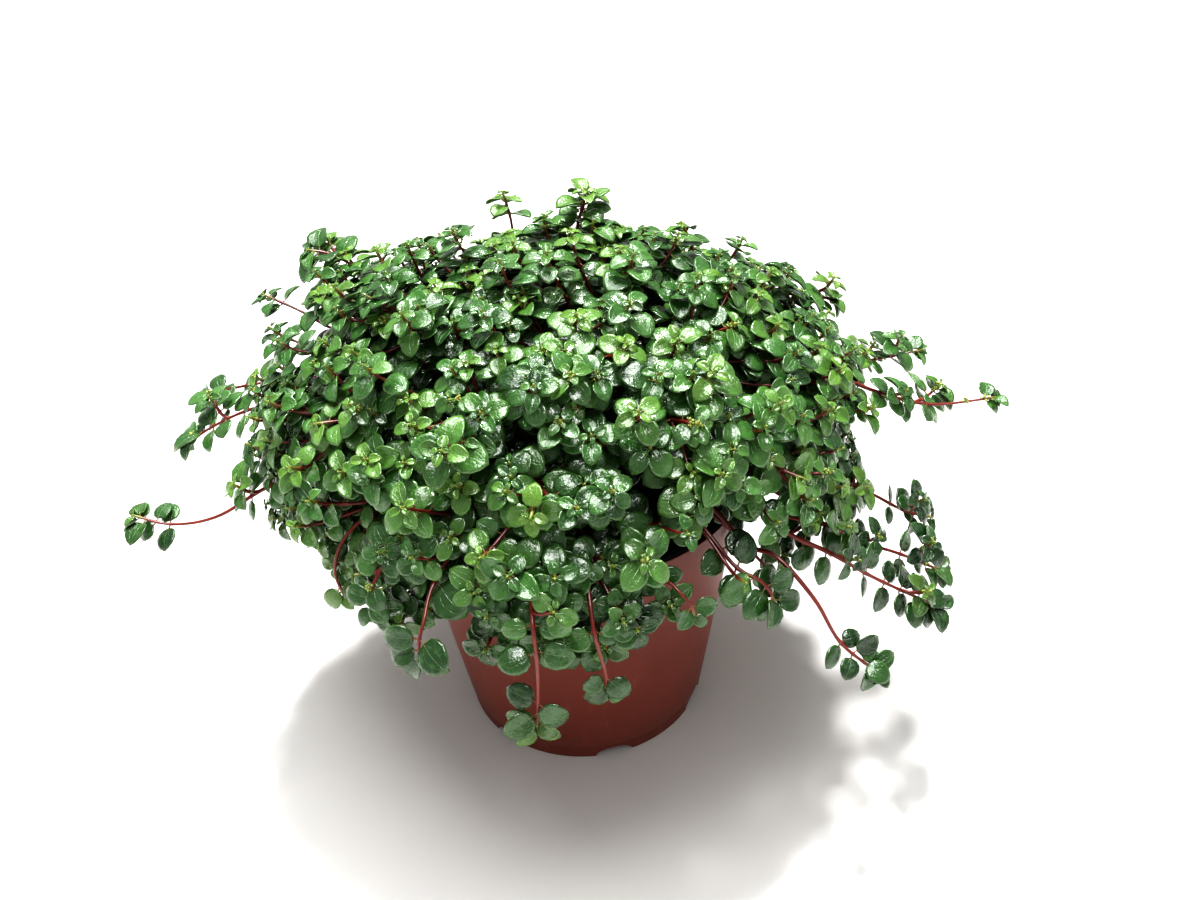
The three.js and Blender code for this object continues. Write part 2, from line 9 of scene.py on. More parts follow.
import math
from collections import namedtuple
import bpy
import numpy as np
from mathutils import Matrix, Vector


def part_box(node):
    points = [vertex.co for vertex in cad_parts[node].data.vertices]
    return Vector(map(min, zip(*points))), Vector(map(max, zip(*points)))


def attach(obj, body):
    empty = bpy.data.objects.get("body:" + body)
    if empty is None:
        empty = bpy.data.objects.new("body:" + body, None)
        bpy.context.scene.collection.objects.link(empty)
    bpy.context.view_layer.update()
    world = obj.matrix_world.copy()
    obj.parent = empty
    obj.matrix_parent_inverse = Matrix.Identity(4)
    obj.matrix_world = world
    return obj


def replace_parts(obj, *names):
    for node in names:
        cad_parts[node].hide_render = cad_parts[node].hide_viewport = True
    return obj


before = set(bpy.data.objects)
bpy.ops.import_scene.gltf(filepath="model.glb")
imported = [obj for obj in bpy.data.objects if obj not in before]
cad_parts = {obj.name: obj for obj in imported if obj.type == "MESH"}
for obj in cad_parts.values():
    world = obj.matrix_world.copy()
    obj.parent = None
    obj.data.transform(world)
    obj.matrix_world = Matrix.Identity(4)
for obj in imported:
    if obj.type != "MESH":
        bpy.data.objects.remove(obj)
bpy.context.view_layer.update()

MM = 0.001

# ---------------------------------------------------------------- sizes and places, in mm

RIM_RADIUS, _, POT_HEIGHT = np.array(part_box("pot")[1]) / MM
SOIL_CROWN = 2.5
SOIL_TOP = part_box("soil")[1][2] / MM - SOIL_CROWN
SOIL_EDGE_DROP = 1.6
SOIL_GAP = 0.3

# pot
BASE_RADIUS = 47.5
WALL = 1.2
STEP_HEIGHT = 6.5
STEP_INSET = 0.9
FOOT_RADIUS = BASE_RADIUS - STEP_INSET
RIM_WIDTH = 4
FLOOR = 1.6
CHANNEL_RISE = 3.2
DISC_RADIUS = 20
FOOT_WIDTH = 3.4
NOTCHES = 7
DRAIN_RADIUS, DRAIN_RING = 4, 33
NOTCH_WIDTH = 14
NOTCH_HEIGHT = 3.6
NOTCH_ANGLE = math.radians(-80)
POT_SIDES = 240

# the dome that the stems end on: a unit sphere stretched by REACH about CENTRE
CENTRE = np.array([0, 8, 95])
REACH = np.array([106, 90, 82])
LOWEST = math.radians(95)
LUMPS = [
    ((-0.75, 0.25, 0.6), 0.15),
    ((0.6, 0.4, 0.7), 0.05),
    ((-0.8, -0.6, -0.2), -0.12),
    ((0.8, -0.6, -0.2), -0.12),
]
LUMP_SHARPNESS = 4
DEEP_FROM, DEEP_SPAN = 0.93, 0.4
GOLDEN_TURN = math.pi * (3 - math.sqrt(5))

# stems and twigs
ROOT_SPREAD = 45
NECK = 1.5
ARCH_RISE = 30
ARCH_REACH = 0.35
MOUND_STEMS = 30
MOUND_REACH = (0.98, 1.03)
RUNNER_ROOM = 0.3
STEM_RADIUS = 1.0
TWIG_RADIUS = 0.62
TIP_RADIUS = 0.36
JOINT_SWELL, JOINT_SPAN = 0.16, 0.9
TIPS = 430
TIP_ROOM = 0.06
TIP_DEPTH = (0.93, 1.06)
TIP_STRAY = 0.05
FORK_FROM, FORK_TO = 0.86, 0.42
INNER_TIPS = 190
INNER_DEPTH = (0.7, 0.86)
LONGEST_TURN = 13
GREEN_TIP = 10

# how far apart the rings of a main stem's and of a twig's mesh are, and how many sides it has
STEM_MESH, TWIG_MESH = (2.6, 8), (2.2, 6)

# how far from its tip a stem, a twig and a side shoot have leaves
STEM_LEAFY, TWIG_LEAFY, SIDE_LEAFY = 28, 36, 14
SIDE_LENGTH = (9, 17)

# where each kind of shoot starts counting its seeds
STEM_SEEDS, TWIG_SEEDS, SIDE_SEEDS, BUD_SEEDS = 1000, 5000, 9000, 50000

# balls, as (centre, radius), that the foliage leaves open, so that the rim and the wall show
BARE_PATCHES = [
    ((25, -52, 98), 15),
    ((34, -70, 112), 12),
    ((46, -58, 104), 15),
    ((60, -46, 102), 13),
    ((-74, -50, 82), 15),
    ((-73, -58, 102), 9),
    ((36, -72, 90), 14),
    ((50, -64, 84), 9),
]

# the pairs of leaves of a sprig, from the bud down, as (distance from the tip, length), and the
# step between the pairs that follow
SPRIG = [
    (0.4, 1.9),
    (1.1, 3.5),
    (2.5, 5.9),
    (4.5, 7.2),
    (7.8, 7.7),
    (12.4, 7.7),
    (18.4, 7.5),
    (25.5, 7.3),
]
PAIR_STEP = 8.5
BARE_FOOT = 4
LENGTH_SPREAD = (0.84, 1.16)
SMALL_LEAF = 3.5

# leaves are larger towards the back, by this share from this place on
BACK_GROWTH, BACK_PLACE = 0.15, 60

# over how much of its end a shoot is young, and how much longer it looks so where it is fresh
YOUNG_STRETCH, FRESH_STRETCH = 3.5, 4

# below these heights leaves are painted darker, as shade under the bush: a darker green tint, and more of
# the painted shade, in full once they are as far below as the second number says
PAINTED_SHADE_TINT_BELOW, PAINTED_SHADE_TINT_FADE = 112, 30
SHADED_BELOW, SHADED_FADE = 108, 25

# shares of the older leaves that have brown blotches, and of the shoots that have flower buds
OLD_SHARE, BUD_SHARE = 0.012, 0.13

# what leaves turn to besides outwards: up, and a little to the front
SKY = np.array([0, -0.22, 0.45])

# how strongly leaves turn outwards near the dome, at how many times its reach that has ended, and
# over how much of its reach it fades before
OUTWARDS, OUTWARDS_END, OUTWARDS_FADE = 0.75, 1.35, 0.3

# a blade taken as a disc: where its middle is and its radius, as shares of the leaf's length
BLADE_PLACE, BLADE_RADIUS = 0.62, 0.44

# how near to a leaf's base the others, and the stems, are asked whether it crosses them
NEAR_LEAVES, NEAR_STEMS = 15, 13

# below this square of the sine between them two blades are nearly parallel, and below this
# distance they are then too close
NEARLY_PARALLEL, TOO_CLOSE = 0.02, 0.5

# The stems that stand clear of the dome: the stretch of each with no leaves, measured from its tip
# (from 60 to 60 is none), and where it passes from leaving the dome to its tip. The first points
# are the model's own, because they also say where each stem is rooted and which directions are
# left to the mound's stems.
RUNNERS = {
    "left_long": ((14, 40), [(-104, -8, 104), (-122, -12, 96), (-138, -12, 94), (-150, -12, 99)]),
    "left_mid": ((60, 60), [(-100, 15, 124), (-114, 15, 121), (-126, 15, 116), (-137, 15, 110)]),
    "left_high": ((20, 60), [(-98, 36, 122), (-118, 35, 121), (-136, 35, 118)]),
    "left_top": ((9, 40), [(-84, 42, 138), (-95, 44, 145), (-108, 46, 152)]),
    "left_crest": ((60, 60), [(-68, 48, 154), (-80, 50, 163), (-90, 50, 166)]),
    "top_left": ((9, 40), [(-15, 42, 166), (-16, 45, 175), (-18, 46, 184)]),
    "top_mid": ((40, 60), [(6, 36, 168), (9, 40, 178), (12, 42, 185)]),
    "top_right": ((9, 40), [(50, 44, 150), (48, 48, 161), (45, 50, 168)]),
    "right_crest": ((60, 60), [(76, 38, 141), (90, 40, 141), (103, 40, 137)]),
    "right_high": ((40, 60), [(92, 30, 122), (111, 30, 117), (134, 30, 120)]),
    "right_long": ((6, 20), [(94, 4, 124), (108, 2, 119), (126, 0, 114), (150, 0, 115)]),
    "right_mid": ((22, 30), [(90, -20, 98), (103, -18, 90), (115, -18, 82), (126, -18, 78)]),
    "right_low_a": ((24, 34), [(80, -36, 93), (93, -34, 83), (107, -34, 77), (125, -34, 67)]),
    "right_low_b": ((34, 48), [(66, -44, 97), (80, -46, 89), (96, -46, 77), (121, -46, 61)]),
    "right_drop": ((20, 60), [(52, -50, 98), (60, -57, 98), (70, -66, 88), (78, -71, 74), (91, -74, 62)]),
    "front_drop": ((16, 27), [(-14, -76, 106), (-14, -84, 100), (-14, -85, 86), (-16, -83, 60)]),
    "front_left": ((9, 24), [(-42, -66, 106), (-45, -76, 100), (-47, -79, 94), (-47, -80, 88)]),
    "front_right": ((12, 24), [(2, -76, 104), (3, -83, 95), (5, -83, 83), (6, -83, 72)]),
    "front_side": ((6, 30), [(22, -66, 104), (26, -73, 104), (30, -76, 100), (32, -77, 94)]),
    "under_right": ((60, 60), [(46, -62, 100), (54, -66, 96), (58, -68, 88)]),
    "left_under": ((6, 30), [(-70, -42, 108), (-76, -46, 97), (-75, -46, 85)]),
    "left_low": ((40, 60), [(-58, -58, 106), (-62, -62, 98), (-61, -62, 90)]),
}

# how large the leaves at the ends of some of these stems are, as a share of those of the mound
LEAF_SCALE = {
    "front_left": 1.35,
    "front_drop": 1.1,
    "front_right": 0.9,
    "front_side": 0.85,
    "under_right": 1.25,
    "right_low_b": 1.15,
    "left_crest": 1.15,
}

# the stems whose tips look the youngest
YOUNG_TIPS = ("front_drop", "top_mid", "left_under")

# how many short side shoots these stems have, where they stand clear of the dome
SIDE_SHOOTS = {
    "left_long": 2,
    "left_mid": 2,
    "left_high": 2,
    "left_top": 3,
    "left_crest": 3,
    "top_left": 1,
    "top_mid": 2,
    "top_right": 3,
    "right_crest": 3,
    "right_high": 4,
    "right_long": 4,
    "right_mid": 5,
    "right_low_a": 5,
    "right_low_b": 4,
    "front_drop": 2,
    "left_under": 1,
    "left_low": 1,
}

# ---------------------------------------------------------------- vectors and curves


def unit(v):
    """Vectors at length one."""
    v = np.asarray(v, float)
    return v / np.maximum(np.linalg.norm(v, axis=-1, keepdims=True), 1e-9)


def turned(v, axis, angle):
    """Vectors turned about unit axes: v cos a + (axis x v) sin a + axis (axis . v)(1 - cos a)."""
    c, s = np.cos(angle)[..., None], np.sin(angle)[..., None]
    along = (v * axis).sum(-1, keepdims=True)
    return v * c + np.cross(axis, v) * s + axis * along * (1 - c)


def catmull(points, per_span=8):
    """A uniform Catmull-Rom curve through points, its ends reflected, sampled evenly in each span."""
    p = np.asarray(points, float)
    p = np.vstack([2 * p[0] - p[1], p, 2 * p[-1] - p[-2]])
    t = np.linspace(0, 1, per_span, endpoint=False)[:, None]
    spans = [
        0.5
        * (
            2 * b
            + (c - a) * t
            + (2 * a - 5 * b + 4 * c - d) * t**2
            + (3 * b - a - 3 * c + d) * t**3
        )
        for a, b, c, d in zip(p, p[1:], p[2:], p[3:])
    ]
    return np.vstack([*spans, p[-2:-1]])


def bezier(a, b, c, count):
    """A quadratic Bezier curve: (1-t)^2 a + 2t(1-t) b + t^2 c."""
    t = np.linspace(0, 1, count)[:, None]
    return (1 - t) ** 2 * a + 2 * t * (1 - t) * b + t**2 * c


class Line:
    """A curve as points, with the distance along it of each, so that it can be asked by distance."""

    def __init__(self, points):
        self.points = np.asarray(points, float)
        steps = np.linalg.norm(np.diff(self.points, axis=0), axis=1)
        self.at = np.concatenate([[0], np.cumsum(steps)])
        self.length = self.at[-1]

    def point(self, s):
        """The points at distances s."""
        return np.stack([np.interp(s, self.at, axis) for axis in self.points.T], -1)

    def along(self, s):
        """The directions of the curve at distances s."""
        return unit(self.point(np.asarray(s) + 0.4) - self.point(np.asarray(s) - 0.4))

    def evenly(self, step):
        """The same curve, with points about a step apart."""
        count = max(3, int(math.ceil(self.length / step)) + 1)
        return Line(self.point(np.linspace(0, self.length, count)))


# ---------------------------------------------------------------- the dome and its stems


def dome_point(u, share=1.0):
    """The point of the dome in direction u: CENTRE + u REACH (share + a bell for each lump)."""
    swell = share + sum(
        by * math.exp(-LUMP_SHARPNESS * ((u - np.array(towards)) ** 2).sum())
        for towards, by in LUMPS
    )
    return u * REACH * swell + CENTRE


def direction_of(p):
    """The direction on the unit sphere of a point."""
    return unit((np.asarray(p, float) - CENTRE) / REACH)


def depth_of(p):
    """How far inside the bush points lie: 0 near the dome and outside it, 1 halfway in and further. It
    sets how much painted shade darkens leaves and stems.
    """
    reach = (p - CENTRE) / REACH
    u = unit(reach)
    swell = 1.0
    for towards, by in LUMPS:
        swell = swell + by * np.exp(-LUMP_SHARPNESS * ((u - np.array(towards)) ** 2).sum(-1))
    return np.clip((DEEP_FROM - np.linalg.norm(reach, axis=-1) / swell) / DEEP_SPAN, 0, 1)


def in_bare_patch(p):
    """Whether a point is in a patch that the foliage leaves open."""
    return any(np.linalg.norm(p - np.array(centre)) < size for centre, size in BARE_PATCHES)


def root_of(u):
    """Where the stem that leans in direction u leaves the soil: as much soil for as much dome."""
    share = min(1, (1 - u[2]) / (1 - math.cos(LOWEST)))
    aside = math.hypot(u[0], u[1]) or 1
    r = ROOT_SPREAD * math.sqrt(share)
    return np.array([r * u[0] / aside, r * u[1] / aside, SOIL_TOP])


def directions(count):
    """Directions spread evenly over the dome by the golden turn."""
    i = np.arange(count)
    z = 1 - (i + 0.5) / count * (1 - math.cos(LOWEST))
    aside = np.sqrt(1 - z * z)
    return np.stack([aside * np.cos(GOLDEN_TURN * i), aside * np.sin(GOLDEN_TURN * i), z], -1)


def light_at(p):
    """Where the light comes from: from outside the dome and the sky, and beyond it the sky alone."""
    reach = (p - CENTRE) / REACH
    outside = OUTWARDS * np.clip((OUTWARDS_END - np.linalg.norm(reach)) / OUTWARDS_FADE, 0, 1)
    return unit(unit(reach / REACH) * outside + SKY)


def stem_line(way):
    """A stem: upright out of the soil, in an arch to the first point of its way, then along it."""
    way = np.asarray(way, float)
    root = root_of(direction_of(way[0]))
    foot = root - [0, 0, 3]
    neck = root + [0, 0, SOIL_CROWN + NECK]
    bend = root + (way[0] - root) * ARCH_REACH
    bend[2] = (neck[2] + way[0][2]) / 2 + ARCH_RISE
    arch = bezier(neck, bend, way[0], 4)
    return Line(np.vstack([foot, catmull(np.vstack([arch, way[1:]]))]))


class Shoot:
    """A stem or twig: its line, its thickness, the node it belongs to and where its leaves are. They
    reach a length back from its tip, but for a bare stretch."""

    def __init__(self, node, line, radius, reach, seed, bare=(0, 0)):
        self.node = node
        self.line = line
        self.radius = radius
        self.seed = seed
        self.draw = np.random.default_rng(seed)
        self.scale = self.draw.uniform(0.8, 1.2)
        self.fresh = self.draw.uniform(0.15, 1) ** 1.5
        if radius == STEM_RADIUS:
            runner = node.removeprefix("runner_")
            self.scale = LEAF_SCALE.get(runner, self.scale)
            self.fresh = 1 if runner in YOUNG_TIPS else self.fresh
        self.phase = self.draw.uniform(0, math.pi)
        leafy_length = min(reach, line.length - BARE_FOOT)
        self.pairs = [(d, size) for d, size in SPRIG if d < leafy_length]
        d = SPRIG[-1][0] + PAIR_STEP
        while d < leafy_length:
            self.pairs.append((d, SPRIG[-1][1]))
            d += PAIR_STEP
        self.pairs = [(d, size) for d, size in self.pairs if not bare[0] < d < bare[1]]

    def radius_at(self, s):
        """Thickness along it: thinner to the tip, and swollen at each pair of leaves from the third."""
        s = np.asarray(s, float)
        base = self.radius + (TIP_RADIUS - self.radius) * (s / self.line.length) ** 1.5
        for d, _ in self.pairs[2:]:
            base = base + JOINT_SWELL * np.exp(-(((self.line.length - d - s) / JOINT_SPAN) ** 2))
        return base


# a main stem, with the length of it that is outside the dome
Stem = namedtuple("Stem", "node direction line outside bare")


def main_stems(rng):
    """The runners, and the mound's stems: one in each direction of the golden turn that is clear of
    the runners' directions."""
    stems = []
    for name, (bare, way) in RUNNERS.items():
        outside = Line(catmull(way)).length
        stems.append(Stem(f"runner_{name}", direction_of(way[0]), stem_line(way), outside, bare))
    taken = [stem.direction for stem in stems]
    clear = [
        u for u in directions(MOUND_STEMS) if min(np.linalg.norm(u - v) for v in taken) > RUNNER_ROOM
    ]
    for i, u in enumerate(clear):
        line = stem_line([dome_point(u, rng.uniform(*MOUND_REACH))])
        stems.append(Stem(f"spray_{i + 1:02d}", u, line, 0, (0, 0)))
    return stems


def twig_ends(stems, rng):
    """Where the twigs end, as a list for each stem: points spread over the dome, and over a smaller
    dome inside it, each given to the stem whose direction is the nearest."""
    stem_directions = np.array([stem.direction for stem in stems])
    ends = [[] for _ in stems]
    for count, depth, room in ((TIPS, TIP_DEPTH, TIP_ROOM), (INNER_TIPS, INNER_DEPTH, 0)):
        for v in directions(count):
            v = unit(v + rng.normal(0, TIP_STRAY, 3))
            end = dome_point(v, rng.uniform(*depth))
            gaps = np.linalg.norm(stem_directions - v, axis=1)
            if gaps.min() > room and not in_bare_patch(end):
                ends[gaps.argmin()].append(end)
    return ends


def side_shoots(stem, seed, rng):
    """The short shoots of a runner where it is outside the dome, to either side in turn."""
    line, shoots = stem.line, []
    count = SIDE_SHOOTS.get(stem.node.removeprefix("runner_"), 0)
    for j in range(count):
        d = 8 + (stem.outside - 2) * (j + 0.6) / count
        if stem.bare[0] - 2 < d < stem.bare[1]:
            continue
        s = line.length - d
        along = line.along(s)
        side = unit(np.cross(along, [0, 0.3, 1])) * (-1) ** j
        forward, upward = rng.uniform(0.2, 1.0), rng.uniform(0.3, 1.1)
        way = unit(side * 0.6 + along * forward + np.array([0, 0, upward]))
        twig = fork(line, s, line.point(s) + way * rng.uniform(*SIDE_LENGTH))
        shoots.append(Shoot(stem.node, twig, TWIG_RADIUS, SIDE_LEAFY, seed + j))
    return shoots


def grow():
    """All the shoots: the runners, the stems of the mound, and the twigs that fork from both."""
    rng = np.random.default_rng(11)
    stems = main_stems(rng)
    shoots = []
    for k, (node, _, line, outside, bare) in enumerate(stems):
        leafy_end = max(STEM_LEAFY, outside + 4)
        shoots.append(Shoot(node, line, STEM_RADIUS, leafy_end, STEM_SEEDS + k, bare))
    for k, (stem, ends) in enumerate(zip(stems, twig_ends(stems, rng))):
        inside = stem.line.length - stem.outside
        leaving = stem.line.point(inside)
        ends.sort(key=lambda end: np.linalg.norm(end - leaving))
        for j, end in enumerate(ends):
            share = FORK_FROM + (FORK_TO - FORK_FROM) * (j + 0.5) / len(ends)
            twig = fork(stem.line, share * inside, end)
            seed = TWIG_SEEDS + 100 * k + j
            shoots.append(Shoot(stem.node, twig, TWIG_RADIUS, TWIG_LEAFY, seed))
        shoots += side_shoots(stem, SIDE_SEEDS + 100 * k, rng)
    return shoots


def fork(line, s, end):
    """A twig from a distance s along a line, leaving it at a slant and turning up to the light:
    a cubic Bezier curve, (1-t)^3 a + 3t(1-t)^2 b + 3t^2(1-t) c + t^3 d."""
    start = line.point(s)
    reach = np.linalg.norm(end - start)
    leaving = start + unit(line.along(s) + unit(end - start)) * 0.4 * reach
    arriving = end - light_at(end) * min(0.5 * reach, LONGEST_TURN)
    t = np.linspace(0, 1, 14)[:, None]
    return Line(
        (1 - t) ** 3 * start
        + 3 * t * (1 - t) ** 2 * leaving
        + 3 * t**2 * (1 - t) * arriving
        + t**3 * end
    )


# ---------------------------------------------------------------- leaves, placed


class Leaves:
    """The placed leaves, as arrays: base, frame, length and looks of each, and its shoot's node."""

    def __init__(self, room):
        self.count = 0
        self.base, self.x, self.z = (np.zeros((room, 3)) for _ in range(3))
        self.length, self.young, self.fresh, self.tint = np.zeros((4, room))
        self.droop, self.cup, self.wide, self.spot = np.zeros((4, room))
        self.centre, self.radius = np.zeros((room, 3)), np.zeros(room)
        self.node = []

    def add(self, node, base, x, z, length, **looks):
        """Adds one leaf. Its blade is a disc, for telling whether another would cross it."""
        i = self.count
        self.base[i], self.x[i], self.z[i], self.length[i] = base, x, z, length
        self.centre[i] = base + x * length * BLADE_PLACE
        self.radius[i] = BLADE_RADIUS * length
        for name, value in looks.items():
            getattr(self, name)[i] = value
        self.node.append(node)
        self.count += 1


def disc_crossings(centre, normal, radius, leaves, near):
    """How many placed blades each trial disc crosses.

    The planes of two discs meet in a line. The discs cross where both cut a stretch from that line
    and the stretches overlap. Nearly parallel discs cross if they lie closer than a leaf is thick.
    """
    c2, n2, r2 = leaves.centre[near], leaves.z[near], leaves.radius[near]
    c1, n1, r1 = centre[:, None], normal[:, None], radius[:, None]
    d = np.cross(n1, n2)
    square = (d * d).sum(-1)
    h1 = (n1 * c1).sum(-1)
    h2 = (n2 * c2).sum(-1)
    safe = np.maximum(square, 1e-4)[..., None]
    point = (h1[..., None] * np.cross(n2, d) + h2[..., None] * np.cross(d, n1)) / safe
    way = d / np.sqrt(safe)

    def stretch(c, r):
        t = ((c - point) * way).sum(-1)
        aside = ((c - point) ** 2).sum(-1) - t * t
        return t, r * r - aside

    t1, s1 = stretch(c1, r1)
    t2, s2 = stretch(c2, r2)
    half = np.sqrt(np.maximum(s1, 0)) + np.sqrt(np.maximum(s2, 0))
    cut = (s1 > 0) & (s2 > 0) & (np.abs(t1 - t2) < half)
    apart = c2 - c1
    close = np.abs((apart * n1).sum(-1)) < TOO_CLOSE
    side = np.linalg.norm(apart, axis=-1) < 0.9 * (r1 + r2)
    flat = square < NEARLY_PARALLEL
    return np.where(flat, close & side, cut).sum(1)


def stem_crossings(centre, normal, radius, starts, ends):
    """How many stretches of stem go through each trial disc."""
    c, n = centre[:, None], normal[:, None]
    a = ((starts - c) * n).sum(-1)
    b = ((ends - c) * n).sum(-1)
    share = a / np.where(np.abs(a - b) < 1e-9, 1e-9, a - b)
    hit = starts + (ends - starts) * share[..., None]
    inside = np.linalg.norm(hit - c, axis=-1) < radius[:, None]
    return ((a * b < 0) & inside).sum(1)


# the turns about its face and the lifts of its tip that a leaf tries, and what turning back counts
TRIAL_TURNS = np.radians([0, 0, 0, 18, -18, 18, -18, 34, -34, 34, -34, 50, -50])
TRIAL_LIFTS = np.radians([0, 16, -16, 0, 0, 20, 20, 0, 0, -18, -18, 20, 20])
BACKWARDS = 50


def place_leaf(leaves, shoot, order, d, size, angle, stretches):
    """Places one leaf at a distance d from the shoot's tip, at an angle about the shoot.

    It starts out along the shoot's side, leaning to the tip, the younger the more. Its face is
    turned towards the light. Of the trial turns and lifts it takes the first that crosses least.
    It is left out if that one turns back, or crosses anything from the fourth pair on. Twigs have
    none in the bare patches.
    """
    draw = shoot.draw
    s = shoot.line.length - d
    centre, along = shoot.line.point(s), shoot.line.along(s)
    light = light_at(centre)
    side = unit(np.cross(along, [0.3, 0.2, 0.93]))
    side = turned(side, along, np.array(angle))
    young = math.exp(-d / YOUNG_STRETCH)
    lean = 0.25 + 0.9 * young + draw.normal(0, 0.08)
    x = side + lean * along
    x = unit(x - (0.62 - 0.35 * young) * (x @ light) * light)
    z = unit(light * (1 - 0.5 * young) + along * 0.5 * young + draw.normal(0, 0.15, 3))
    if shoot.radius < STEM_RADIUS and in_bare_patch(centre):
        return
    behind = np.clip(centre[1] / BACK_PLACE, 0, 1)
    length = size * shoot.scale * draw.uniform(*LENGTH_SPREAD) * (1 + BACK_GROWTH * behind)
    base = centre + side * shoot.radius_at(s) * 0.7

    turn = TRIAL_TURNS + draw.normal(0, 0.06)
    z0 = np.broadcast_to(z, (len(turn), 3))
    x1 = turned(np.broadcast_to(x, z0.shape), z0, turn)
    x1 = unit(x1 - (x1 * z0).sum(-1, keepdims=True) * z0)
    y1 = np.cross(z0, x1)
    x1 = turned(x1, y1, -TRIAL_LIFTS)
    z1 = turned(z0, y1, -TRIAL_LIFTS)
    forward = x1 @ side > 0.1
    discs = base + x1 * length * BLADE_PLACE
    radii = np.full(len(turn), BLADE_RADIUS * length)
    n = leaves.count
    near = np.nonzero(((leaves.centre[:n] - base) ** 2).sum(1) < NEAR_LEAVES**2)[0]
    cost = disc_crossings(discs, z1, radii, leaves, near).astype(float)
    starts, ends = stretches
    close = ((starts - base) ** 2).sum(1) < NEAR_STEMS**2
    cost += stem_crossings(discs, z1, radii * 0.9, starts[close], ends[close])
    cost += np.where(forward, 0, BACKWARDS) + 0.01 * np.arange(len(turn))
    best = int(cost.argmin())
    if cost[best] >= BACKWARDS or (cost[best] >= 1 and order > 2):
        return
    # painted shade: leaves low under the bush get a darker green tint
    low = np.clip((PAINTED_SHADE_TINT_BELOW - base[2]) / PAINTED_SHADE_TINT_FADE, 0, 1)
    tint = 0.34 + 0.28 * shoot.fresh - 0.3 * low + 0.17 * draw.standard_normal()
    leaves.add(
        shoot.node,
        base,
        x1[best],
        z1[best],
        length,
        young=young,
        fresh=shoot.fresh * math.exp(-d / (YOUNG_STRETCH + FRESH_STRETCH * shoot.fresh)),
        tint=np.clip(tint, 0, 1),
        droop=draw.uniform(0.02, 0.16),
        cup=draw.uniform(-0.04, 0.1) + 0.25 * young,
        wide=draw.uniform(0.92, 1.08) * (1 - 0.25 * young),
        spot=float(order > 2 and draw.random() < OLD_SHARE),
    )


def leafy(shoots):
    """All the leaves of the shoots, the youngest pairs first, so that the outermost keep their place."""
    stretches = [(s.line.evenly(4).points[:-1], s.line.evenly(4).points[1:]) for s in shoots]
    starts = np.vstack([a for a, _ in stretches])
    ends = np.vstack([b for _, b in stretches])
    leaves = Leaves(2 * sum(len(s.pairs) for s in shoots))
    for order in range(max(len(s.pairs) for s in shoots)):
        for shoot in shoots:
            if order >= len(shoot.pairs):
                continue
            d, size = shoot.pairs[order]
            angle = shoot.phase + order * math.pi / 2 + shoot.draw.normal(0, 0.12)
            for half in (0, math.pi):
                place_leaf(leaves, shoot, order, d, size, angle + half, (starts, ends))
    return leaves


# ---------------------------------------------------------------- meshes


class Shape:
    """Vertices, faces and values gathered for one mesh. Faces are quads, with -1 for a triangle."""

    def __init__(self):
        self.points, self.faces, self.slots, self.values = [], [], [], {}
        self.count = 0

    def add(self, points, faces, slot=0, **values):
        """Adds vertices (n, 3), faces (m, 4) that count from 0, and one value for each vertex."""
        points = np.asarray(points, float).reshape(-1, 3)
        faces = np.asarray(faces)
        self.points.append(points)
        self.faces.append(np.where(faces < 0, -1, faces + self.count))
        self.slots.append(np.broadcast_to(slot, len(faces)))
        for name, value in values.items():
            flat = np.broadcast_to(np.asarray(value, float), len(points)).astype(float)
            self.values.setdefault(name, []).append(flat)
        self.count += len(points)

    def piece(self, name, slot, *finishes, sharp=None):
        """The mesh as a piece of the plant that rides on the frame."""
        points = np.vstack(self.points) * MM
        faces = np.vstack(self.faces)
        corners = np.where(faces[:, 3] < 0, 3, 4)
        loops = faces[faces >= 0]
        mesh = bpy.data.meshes.new(name)
        mesh.vertices.add(len(points))
        mesh.vertices.foreach_set("co", points.ravel())
        mesh.loops.add(len(loops))
        mesh.loops.foreach_set("vertex_index", loops)
        mesh.polygons.add(len(faces))
        mesh.polygons.foreach_set("loop_start", np.cumsum(corners) - corners)
        mesh.polygons.foreach_set("material_index", np.concatenate(self.slots).astype(np.int32))
        mesh.update(calc_edges=True)
        mesh.validate()
        mesh.shade_smooth()
        for key, parts in self.values.items():
            data = np.concatenate(parts).astype(np.float32)
            mesh.attributes.new(key, "FLOAT", "POINT").data.foreach_set("value", data)
        if sharp:
            mesh.set_sharp_from_angle(angle=math.radians(sharp))
        for finish in finishes:
            mesh.materials.append(finish)
        obj = bpy.data.objects.new(name, mesh)
        bpy.context.scene.collection.objects.link(obj)
        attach(obj, "root")
        return obj


def ring_faces(rings, around):
    """Quads between rings of points that close on themselves."""
    i = np.arange(rings - 1)[:, None] * around
    j = np.arange(around)[None]
    k = (j + 1) % around
    return np.stack([i + j, i + k, i + around + k, i + around + j], -1).reshape(-1, 4)


def copied_faces(faces, count, points):
    """The faces of one form, for a count of copies that have so many points each."""
    every = faces[None] + points * np.arange(count)[:, None, None]
    return np.where(faces[None] < 0, -1, every).reshape(-1, 4)


def fan_faces(hub, ring, around, outward=True):
    """Triangles from a ring that starts at an index to a hub."""
    j = np.arange(around)
    k = (j + 1) % around
    first, second = (ring + j, ring + k) if outward else (ring + k, ring + j)
    return np.stack([first, second, np.full(around, hub), np.full(around, -1)], -1)


